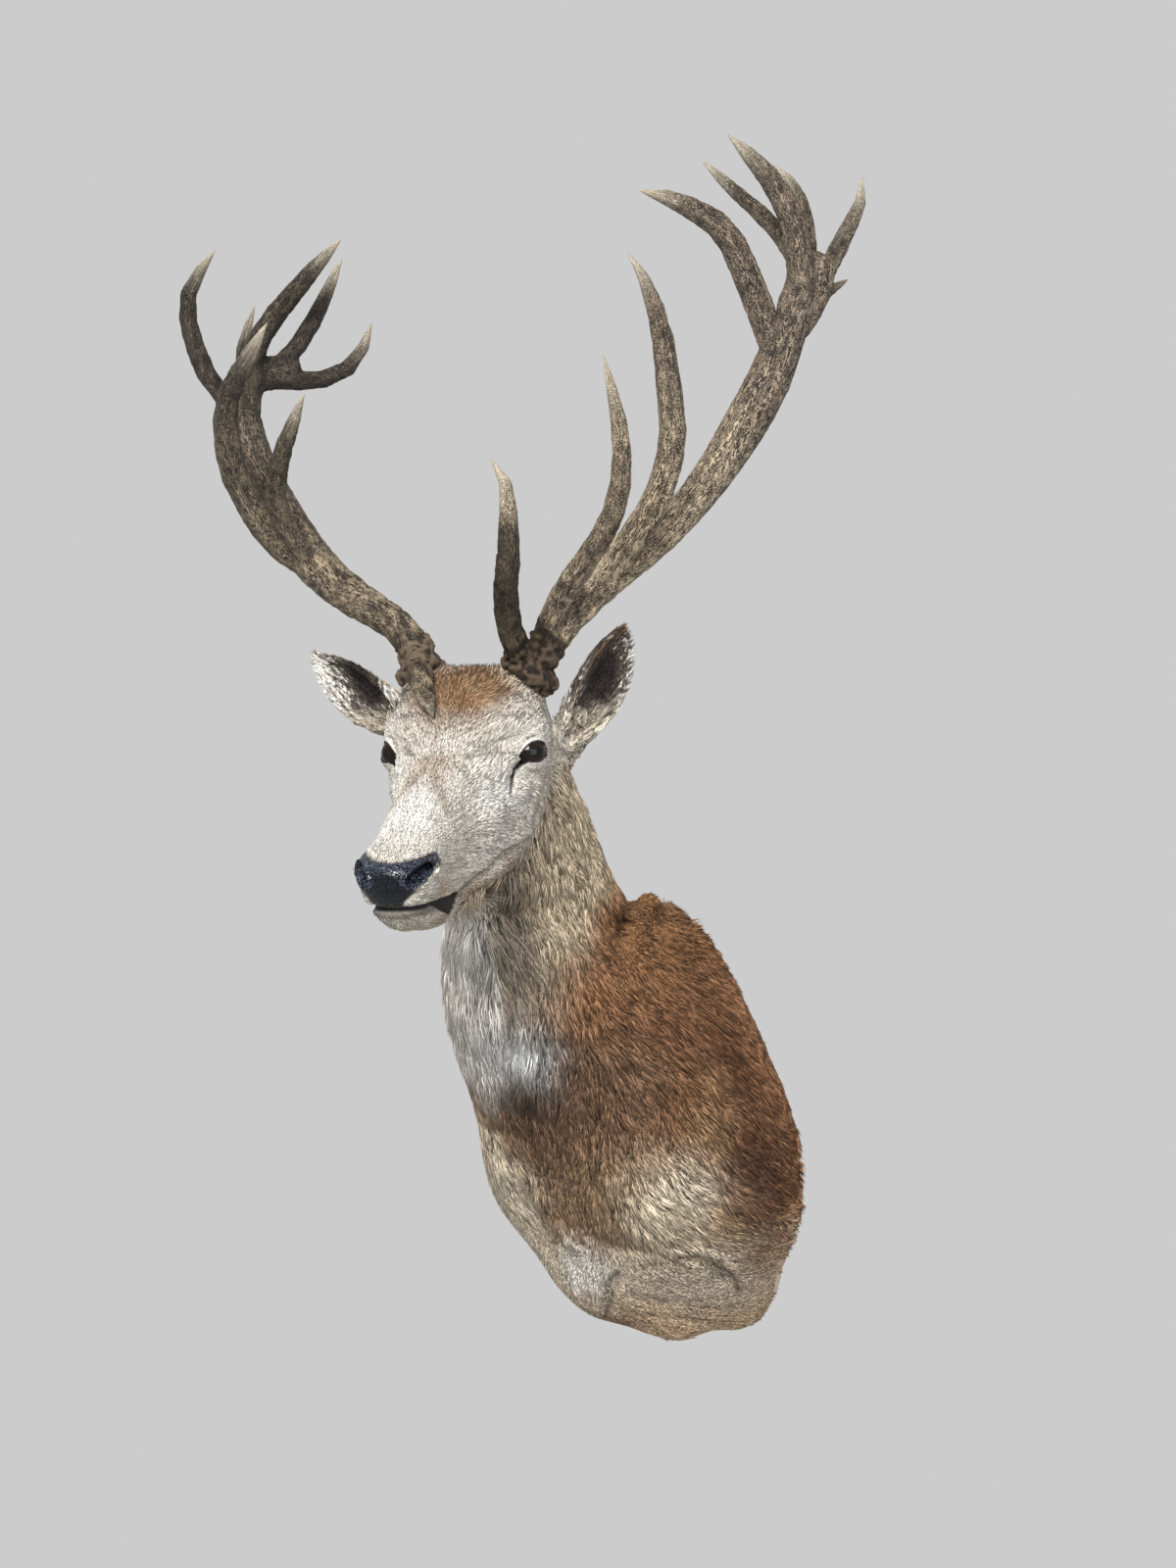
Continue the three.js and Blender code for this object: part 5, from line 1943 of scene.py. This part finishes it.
@dataclass
class Antler:
    """One antler: a rough grooved beam with polished tine ends."""

    side: str
    foot: Spot
    pearled: float
    voxel: float = 1.85
    swelled: float = 0.25
    groove_depth: float = 0.6
    pearl_height: float = 0.6
    burr_height: float = 22.0
    burr_knobs: float = 2.8
    polish: float = 40.0
    snag_polish: float = 34.0
    darkest: tuple[tuple[str, float], ...] = ()
    points: Array = field(init=False)
    edges: Array = field(init=False)
    along: Array = field(init=False)
    to_tip: Array = field(init=False)

    def nodes(self) -> list[str]:
        """The CAD nodes of this antler."""
        return sorted(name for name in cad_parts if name.startswith(self.side + "_"))

    def build(self, material: Material) -> None:
        """Makes the antler.

        Args:
            material: Its finish.
        """
        bone = joined_copy(f"{self.side}_antler", self.nodes(), grow=self.swelled)
        modify(bone, "REMESH", mode="VOXEL", voxel_size=self.voxel * MM)
        modify(bone, "SMOOTH", factor=0.6, iterations=9)
        self.points, self.edges = points_of(bone), edges_of(bone)
        normals = normals_of(bone)
        foot = np.linalg.norm(self.points - HEAD.place(np.array(self.foot)), axis=1) < 30
        self.along = walk(self.points, self.edges, dict.fromkeys(np.flatnonzero(foot).tolist(), 0.0))
        self.to_tip = walk(self.points, self.edges, self._tips())
        relief = self._relief()
        set_points(bone, self.points + normals * relief[:, None])
        put(bone, "along", self.along)
        put(bone, "to_tip", self.to_tip)
        put(bone, "relief", relief)
        layer = bone.data.attributes.new("around", "FLOAT_VECTOR", "POINT")
        layer.data.foreach_set("vector", self._calm(normals).astype(np.float32).ravel())
        put(bone, "dark", self._shade())
        bone.data.shade_smooth()
        hand_over(bone, material, Slot.ANTLER, *self.nodes())

    def _calm(self, normals: Array) -> Array:
        """Takes the small turns out of the normals.

        Args:
            normals: The normal at each vertex.

        Returns:
            The calmer normals.
        """
        for _ in range(6):
            normals = unit(edge_mean(self.edges, normals) + normals)
        return normals

    def _tips(self) -> dict[int, float]:
        """Finds the end of each tine.

        Returns:
            The vertex there, and how much of its polish is worn off already.
        """
        tree = KDTree(len(self.points))
        for i, point in enumerate(self.points):
            tree.insert(point, i)
        tree.balance()
        tips = {}
        for name in self.nodes():
            if name.endswith(("beam", "crown")):
                continue
            near = [tree.find(corner)[1] for corner in points_of(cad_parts[name])]
            small = name.endswith(("snag", "spur", "stub"))
            tips[max(near, key=lambda i: self.along[i])] = self.snag_polish if small else 0.0
        return tips

    def _relief(self) -> Array:
        """Grooves along the bone, pearls on it and knobs round its foot.

        Returns:
            The height at each vertex, in millimetres.
        """
        points, edges, along = self.points, self.edges, self.along
        start, end = edges[:, 0], edges[:, 1]
        length = np.maximum(np.linalg.norm(points[end] - points[start], axis=1), 1e-6)
        rise = np.nan_to_num((along[end] - along[start]) / length, posinf=0, neginf=0)
        lengthwise = np.abs(rise) ** 4 + 0.004
        rng = np.random.default_rng(len(self.side))
        grooves = rng.normal(size=len(points))
        for _ in range(2):
            grooves = edge_mean(edges, grooves)
        fine = rng.normal(size=len(points))
        for i in range(16):
            grooves = 0.35 * grooves + 0.65 * edge_mean(edges, grooves, lengthwise)
            if i < 4:
                fine = 0.35 * fine + 0.65 * edge_mean(edges, fine, lengthwise)
        grooves, fine = grooves / grooves.std(), fine / fine.std()
        rough = smooth_step(self.polish * 0.5, self.polish * 1.8, self.to_tip)
        lower = 1 - smooth_step(60, 260, along)
        noise = Noise(41)
        pearls = smooth_step(0.1, 0.6, noise.at(points, 4.4)) * self.pearl_height
        pearls = pearls * (0.3 + self.pearled * lower)
        burr = 1 - smooth_step(self.burr_height * 0.7, self.burr_height, along)
        knobs = smooth_step(-0.3, 0.4, noise.at(points + 90, 4.8)) * self.burr_knobs
        plain = self.groove_depth * np.clip(grooves, -2, 1.6) * (0.35 + 0.35 * lower)
        plain = plain + 0.2 * np.clip(fine, -2, 2) + pearls
        return (plain * (1 - burr) + (knobs + 0.3 * fine) * burr) * (0.12 + 0.88 * rough)

    def _shade(self) -> Array:
        """Finds the dark bone: at the burr, in broad patches and on the darkest tines.

        Returns:
            How dark each vertex is, from 0 to 1.
        """
        burr = 1 - smooth_step(self.burr_height * 0.8, self.burr_height * 1.5, self.along)
        patches = 0.5 + 0.5 * Noise(43).layers(self.points, 70.0, 2)
        out = burr * (1.25 - self.pearled) + 0.16 * patches + 0.92 * (self.pearled - 0.3)
        for name, share in self.darkest:
            corners = points_of(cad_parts[name])
            gaps = [np.linalg.norm(self.points - corner, axis=1) for corner in corners]
            top = 0.4 * corners[:, 2].min() + 0.6 * corners[:, 2].max()
            below = smooth_step(top + 40, top, self.points[:, 2])
            out = out + share * smooth_step(30, 17, np.min(gaps, axis=0)) * below
        return np.clip(out, 0, 1)


@dataclass(frozen=True)
class BoneFinish:
    """Weathered antler: dark grooves, taupe crests, ivory at the worn ends."""

    crest: Colour = srgb(136, 121, 103)
    groove: Colour = srgb(20, 16, 13)
    crest_at_foot: Colour = srgb(220, 201, 170)
    groove_at_foot: Colour = srgb(62, 48, 36)
    stain: Colour = (0.08, 0.066, 0.055)
    ivory: Colour = srgb(232, 225, 206)
    ivory_crack: Colour = srgb(140, 118, 88)
    foot_end: float = 180.0
    upper_start: float = 460.0
    worn_length: float = 72.0
    rough: float = 0.70
    polish: float = 0.32

    def make(self) -> Material:
        """Builds the material.

        Returns:
            The material.
        """
        finish = Finish("antler_bone", Specular_IOR_Level=0.35)
        around = finish.node("ShaderNodeAttribute", {"attribute_name": "around"})[1]
        along = finish.attribute("along")
        to_tip = finish.attribute("to_tip")
        relief = finish.attribute("relief")
        dark = finish.attribute("dark")

        def streaks(turns: float, run: float, detail: float) -> Wire:
            """Noise drawn out along the bone.

            Args:
                turns: How fine it is round the bone.
                run: The length of one lump, in millimetres.
                detail: Its finer layers.

            Returns:
                The noise, from 0 to 1.
            """
            settings = {"noise_dimensions": "4D"}
            length = along * (1 / (run * turns))
            return finish.node("ShaderNodeTexNoise", settings, around, length, turns, detail)[0]

        fine = streaks(60.0, 7.0, 1.0)
        broad = streaks(5.0, 30.0, 2.0)
        pits = finish.noise(820.0, 1.0)
        grain = fine * 0.56 + pits * 0.34 + broad * 0.10
        raised = finish.between(grain + relief * 0.06, 0.45, 0.54)
        foot = 1 - finish.between(along, self.foot_end, self.upper_start)
        light = finish.mix(foot, self.crest, self.crest_at_foot)
        deep = finish.mix(foot, self.groove, self.groove_at_foot)
        bone = finish.mix(raised, deep, light)
        bone = finish.mix(dark, bone, finish.tint(bone, self.stain))
        worn = 1 - finish.between(to_tip + broad * 80.0 - 40.0, 4.0, self.worn_length)
        ivory = finish.mix(finish.between(fine, 0.36, 0.62), self.ivory_crack, self.ivory)
        finish.colour(finish.mix(worn * 0.9, bone, ivory))
        finish.roughness(self.rough - worn * self.polish)
        finish.relief((raised * (1 - worn * 0.85), 1.0, 2.2))
        return finish.material


# ---- eyes
@dataclass
class Eyeball:
    """A glass eye: a ball with a clear bulge, a long pupil and a dark iris."""

    side: int
    radius: float = 18.9
    bulge: float = 0.9
    iris: float = 12.5

    def build(self, material: Material) -> None:
        """Makes one eye.

        Args:
            material: Its finish.
        """
        clear_selection()
        bpy.ops.mesh.primitive_uv_sphere_add(segments=64, ring_count=40, radius=self.radius * MM)
        ball = bpy.context.active_object
        name = "left" if self.side > 0 else "right"
        ball.name = f"glass_eye_{name}"
        points = points_of(ball)
        look, front, above = EYE.axes(self.side)
        off_axis = np.hypot(points[:, 0], points[:, 1])
        cornea = smooth_step(self.iris + 1.5, 0.0, off_axis) * (points[:, 2] > 0)
        points *= (1 + self.bulge * cornea / self.radius)[:, None]
        put(ball, "across", points[:, 0] * MM)
        put(ball, "upward", points[:, 1] * MM)
        axes = np.stack([front, above, look])
        if np.linalg.det(axes @ HEAD.axes) < 0:
            axes[0] = -axes[0]
        set_points(ball, HEAD.place(points @ axes + HEAD.eye(self.side)))
        ball.data.shade_smooth()
        hand_over(ball, material, Slot.EYE, f"eye_{name}")


@dataclass(frozen=True)
class EyeFinish:
    """Dark brown iris round a black pupil, under clear polish."""

    pupil: Colour = (0.002, 0.002, 0.002)
    ray: Colour = srgb(30, 18, 11)
    between_rays: Colour = srgb(18, 12, 8)
    rim: Colour = srgb(14, 11, 9)
    pupil_radius: float = 5.0
    rim_start: float = 9.5
    rim_end: float = 13.0

    def make(self) -> Material:
        """Builds the material.

        Returns:
            The material.
        """
        finish = Finish("eye_glass", Roughness=0.07, Specular_IOR_Level=0.25)
        across = finish.attribute("across") * (1 / MM)
        upward = finish.attribute("upward") * (1 / MM)
        reach = (across * across + upward * upward) ** 0.5
        oval = (across * across * 0.45 + upward * upward * 1.4) ** 0.5
        pupil = 1 - finish.between(oval, self.pupil_radius, self.pupil_radius + 0.8)
        rim = finish.between(reach, self.rim_start, self.rim_end)
        iris = finish.mix(finish.noise(1500.0), self.between_rays, self.ray)
        iris = finish.mix(rim, iris, self.rim)
        finish.colour(finish.mix(pupil, iris, self.pupil))
        return finish.material


# ---- behind: board, hide edge, hanger
@dataclass
class WallSide:
    """The board's rear: the hide turned over its edge, the staples and the hanger."""

    turn_over: float = 15.0
    thickness: float = 0.9
    overlap: float = 2.5
    stations: int = 220
    staples: int = 64
    crown: float = 5.5
    wire: float = 0.55
    sides: int = 6
    centre_height: float = -28.0
    keyhole_reach: float = 82.0
    outline: Array = field(init=False)
    inward: Array = field(init=False)

    def build(self) -> None:
        """Makes the pieces behind the mount and dresses the CAD ones."""
        self.outline = self._outline()
        along = np.roll(self.outline, -1, axis=0) - np.roll(self.outline, 1, axis=0)
        self.inward = unit(np.stack([-along[:, 1], along[:, 0]], axis=1))
        self._hide()
        self._staples()
        wood, steel = PlywoodFinish().make(), ZincFinish().make()
        for name, material in (
            ("back_board", wood),
            ("hanger_plate", steel),
            ("hanger_screw_upper", steel),
            ("hanger_screw_lower", steel),
        ):
            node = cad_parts[name]
            node.data.materials.clear()
            node.data.materials.append(material)
            LOG.info("%s: dressed", name)

    def _outline(self) -> Array:
        """The board's edge, at even turns round its middle.

        Returns:
            The x and z of each place.
        """
        x, y, z = points_of(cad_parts["back_board"]).T
        rear = (y > -0.6) & (np.abs(x) + np.abs(z - 60) > self.keyhole_reach)
        turn = np.arctan2(z[rear] - self.centre_height, x[rear])
        order = np.argsort(turn)
        marks = np.linspace(-math.pi, math.pi, self.stations, endpoint=False)
        edge = [
            np.interp(marks, turn[order], axis[rear][order], period=2 * math.pi) for axis in (x, z)
        ]
        return np.stack(edge, axis=1)

    @staticmethod
    def _loft(count: int, per: int, start: int, closed: bool) -> list[tuple[int, int, int]]:
        """Triangles between rings of vertices.

        Args:
            count: How many rings.
            per: The vertices of each.
            start: The first vertex.
            closed: Whether the last ring joins the first.

        Returns:
            The three vertices of each triangle.
        """
        faces = []
        for i in range(count if closed else count - 1):
            for k in range(per):
                here, there = start + i * per, start + (i + 1) % count * per
                a, b, c, d = here + k, here + (k + 1) % per, there + (k + 1) % per, there + k
                faces += [(a, b, c), (a, c, d)]
        return faces

    def _hide(self) -> None:
        """The raw edge of the hide, trimmed by hand, lying flat on the board."""
        outline = self.outline
        wander = Noise(51).layers(np.column_stack([outline, np.zeros(len(outline))]), 26.0, 3)
        reach = self.turn_over * (1 + 0.35 * wander)
        pucker = 0.35 * Noise(52).at(np.column_stack([outline, outline[:, :1]]), 11.0)
        rings = []
        for depth, y in (
            (-self.overlap, -0.9), (-self.overlap, 0.0), (0.0, self.thickness),
            (0.55, self.thickness), (1.0, self.thickness * 0.7), (1.0, 0.05), (0.0, 0.02),
        ):
            inset = np.where(depth > 0, depth * reach, depth)
            flat = outline + self.inward * inset[:, None]
            lift = np.full(len(flat), y) + (pucker if y > 0.1 else 0.0)
            rings.append(np.column_stack([flat[:, 0], lift, flat[:, 1]]))
        points = np.stack(rings, axis=1)
        count, per = points.shape[:2]
        faces = self._loft(count, per, 0, closed=True)
        self._finish("hide_edge", points.reshape(-1, 3), faces, RawhideFinish().make(), Slot.BODY_HAIR)

    def _staples(self) -> None:
        """Wire staples across the hide's edge."""
        rng = np.random.default_rng(53)
        points, faces = [], []
        turns = np.arange(self.sides) * 2 * math.pi / self.sides
        section = [(math.cos(turn) * self.wire, math.sin(turn) * self.wire) for turn in turns]
        half = [(self.crown, -0.7), (self.crown, 0.5), (self.crown - 0.8, 0.95)]
        path = [(-along, height) for along, height in half] + half[::-1]
        for mark in np.linspace(0, len(self.outline), self.staples, endpoint=False).astype(int):
            angle = rng.normal(0.5, 0.5)
            inn = self.inward[mark]
            side = np.array([-inn[1], inn[0]])
            way = side * math.cos(angle) + inn * math.sin(angle)
            cross = np.array([-way[1], way[0]])
            middle = self.outline[mark] + inn * (self.turn_over * 0.45 + rng.normal(0, 1.0))
            base = len(points)
            for along, height in path:
                for u, v in section:
                    spot = middle + way * (along + v * 0.3 * np.sign(along)) + cross * u
                    points.append((spot[0], height + self.thickness * 0.6 + v * 0.7, spot[1]))
            faces += self._loft(len(path), self.sides, base, closed=False)
            for first in (base, base + (len(path) - 1) * self.sides):
                faces += [(first, first + k, first + k + 1) for k in range(1, self.sides - 1)]
        self._finish("hide_staples", np.array(points), faces, ZincFinish().make(), Slot.STEEL)

    @staticmethod
    def _finish(name: str, points: Array, faces: list, material: Material, slot: Slot) -> None:
        """Makes one piece with its faces outwards and hands it over.

        Args:
            name: The piece's name.
            points: Its vertices, in millimetres.
            faces: The three vertices of each triangle.
            material: Its finish.
            slot: The record's material slot.
        """
        obj = mesh_object(name, points, np.array(faces))
        edit(obj, lambda: bpy.ops.mesh.normals_make_consistent(inside=False))
        hand_over(obj, material, slot)


@dataclass(frozen=True)
class RawhideFinish:
    """Tanned hide from its flesh side, with a yellowish mottle."""

    dark: Colour = srgb(196, 176, 142)
    pale: Colour = srgb(222, 208, 180)
    mottle_scale: float = 60.0
    pore_scale: float = 900.0

    def make(self) -> Material:
        """Builds the material.

        Returns:
            The material.
        """
        finish = Finish("rawhide", Specular_IOR_Level=0.3)
        mottle = finish.noise(self.mottle_scale, 4.0)
        pores = finish.noise(self.pore_scale)
        finish.colour(finish.mix(finish.between(mottle, 0.3, 0.7), self.dark, self.pale))
        finish.roughness(0.62 + pores * 0.2)
        finish.relief((pores, 0.35, 0.4), (mottle, 0.4, 1.2))
        return finish.material


@dataclass(frozen=True)
class PlywoodFinish:
    """Plywood: long grain on its face, pale and dark plies at its edge."""

    dark_grain: Colour = srgb(188, 146, 96)
    pale_grain: Colour = srgb(212, 176, 126)
    pore_line: Colour = srgb(140, 98, 58)
    dark_ply: Colour = srgb(150, 108, 66)
    pale_ply: Colour = srgb(206, 172, 124)
    ply: float = 2.6

    def make(self) -> Material:
        """Builds the material.

        Returns:
            The material.
        """
        finish = Finish("plywood", Specular_IOR_Level=0.35)
        grain = finish.noise(9.0, 6.0, finish.stretched((9.0, 1.0, 0.7)))
        lines = finish.noise(60.0, 2.0, finish.stretched((12.0, 1.0, 0.35)))
        depth = finish.node("ShaderNodeSeparateXYZ", {}, finish.place())[1]
        settings = {"operation": "PINGPONG"}
        plies = finish.node("ShaderNodeMath", settings, depth, self.ply * MM)[0]
        face = finish.mix(finish.between(grain, 0.3, 0.7), self.dark_grain, self.pale_grain)
        face = finish.mix(finish.between(lines, 0.56, 0.72) * 0.5, face, self.pore_line)
        layers = finish.mix(finish.between(plies, 0.0010, 0.0016), self.dark_ply, self.pale_ply)
        rear = finish.between(depth, -0.0008, -0.0003)
        finish.colour(finish.mix(rear, layers, face))
        finish.roughness(0.55 + lines * 0.25)
        finish.relief((lines, 0.3, 0.3))
        return finish.material


@dataclass(frozen=True)
class ZincFinish:
    """Zinc-plated steel with a faint spangle."""

    dark: Colour = srgb(168, 170, 172)
    bright: Colour = srgb(196, 198, 200)
    spangle_scale: float = 160.0
    rub_scale: float = 40.0

    def make(self) -> Material:
        """Builds the material.

        Returns:
            The material.
        """
        finish = Finish("zinc", Metallic=1.0)
        spangle = finish.noise(self.spangle_scale, 3.0)
        rubs = finish.noise(self.rub_scale, 3.0, finish.stretched((1.0, 1.0, 14.0)))
        finish.colour(finish.mix(finish.between(spangle, 0.35, 0.65), self.dark, self.bright))
        finish.roughness(0.28 + rubs * 0.3)
        finish.relief((rubs, 0.1, 0.2))
        return finish.material


# ---- the stage
@dataclass
class Studio:
    """The camera, the soft lights and the floor."""

    eye: Spot = (1.231, -1.368, 0.380)
    heading: float = 45.0
    focal: float = 1500.0
    frame_long: float = 1600.0
    backdrop: float = 0.604
    floor_level: float = -1.5
    floor_radius: float = 1.5
    floor_grey: float = 0.6

    def build(self) -> None:
        """Sets up everything that isn't part of the object."""
        self._camera()
        self._world()
        self._lights()
        self._floor()

    def _camera(self) -> None:
        """Places a level camera."""
        data = bpy.data.cameras.new("camera")
        data.lens = self.focal / self.frame_long * data.sensor_width
        data.clip_end = 50.0
        camera = bpy.data.objects.new("camera", data)
        bpy.context.scene.collection.objects.link(camera)
        camera.location = self.eye
        camera.rotation_euler = (math.pi / 2, 0.0, math.radians(self.heading))
        bpy.context.scene.camera = camera

    def _world(self) -> None:
        """A plain pale surround."""
        world = bpy.data.worlds.new("surround")
        bpy.context.scene.world = world
        world.use_nodes = True
        background = next(n for n in world.node_tree.nodes if n.type == "BACKGROUND")
        background.inputs["Color"].default_value = (self.backdrop,) * 3 + (1.0,)
        background.inputs["Strength"].default_value = 1.0
        bpy.context.scene.view_settings.view_transform = "Standard"

    def _lights(self) -> None:
        """A broad key from the front left and above, and a weak fill."""
        self._area("key", (1.25, -2.2, 1.8), (0.0, -0.3, 0.3), 1.1, 112.0, (1.0, 0.985, 0.96))
        self._area("fill", (2.2, -0.9, 0.6), (0.0, -0.3, 0.1), 1.6, 20.0, (0.98, 0.98, 1.0))

    @staticmethod
    def _area(name: str, place: Spot, target: Spot, size: float, power: float, colour: Colour) -> None:
        """One square soft light aimed at a point.

        Args:
            name: The light's name.
            place: Where it stands, in metres.
            target: Where it points.
            size: The length of its side.
            power: Its power, in watts.
            colour: Its colour.
        """
        data = bpy.data.lights.new(name, "AREA")
        data.size = size
        data.energy = power
        data.color = colour
        light = bpy.data.objects.new(name, data)
        bpy.context.scene.collection.objects.link(light)
        light.location = place
        way = Vector(target) - Vector(place)
        light.rotation_euler = way.to_track_quat("-Z", "Y").to_euler()

    def _floor(self) -> None:
        """A pale floor under the mount, too low to meet it."""
        bpy.ops.mesh.primitive_circle_add(
            vertices=96, radius=self.floor_radius, fill_type="NGON",
            location=(0, -0.3, self.floor_level),
        )
        floor = bpy.context.active_object
        floor.name = "floor"
        grey = (self.floor_grey,) * 3 + (1.0,)
        finish = Finish("pale_floor", Base_Color=grey, Roughness=0.9)
        floor.data.materials.append(finish.material)


def main() -> None:
    """Builds the mount piece by piece."""
    logging.basicConfig(level=logging.INFO, format="%(message)s")
    clear_selection()
    Studio().build()
    skin = Skin()
    skin.build()
    coat = Coat(skin.obj, skin.bare())
    skin.dress()
    coat.build(CoatFinish().make())
    bone = BoneFinish().make()
    Antler("left", BURR_PLACES[0], 0.3, darkest=DARK_TINES).build(bone)
    Antler("right", BURR_PLACES[1], pearled=1.0).build(bone)
    glass = EyeFinish().make()
    for side in (1, -1):
        Eyeball(side).build(glass)
    WallSide().build()


if __name__ == "__main__":
    main()
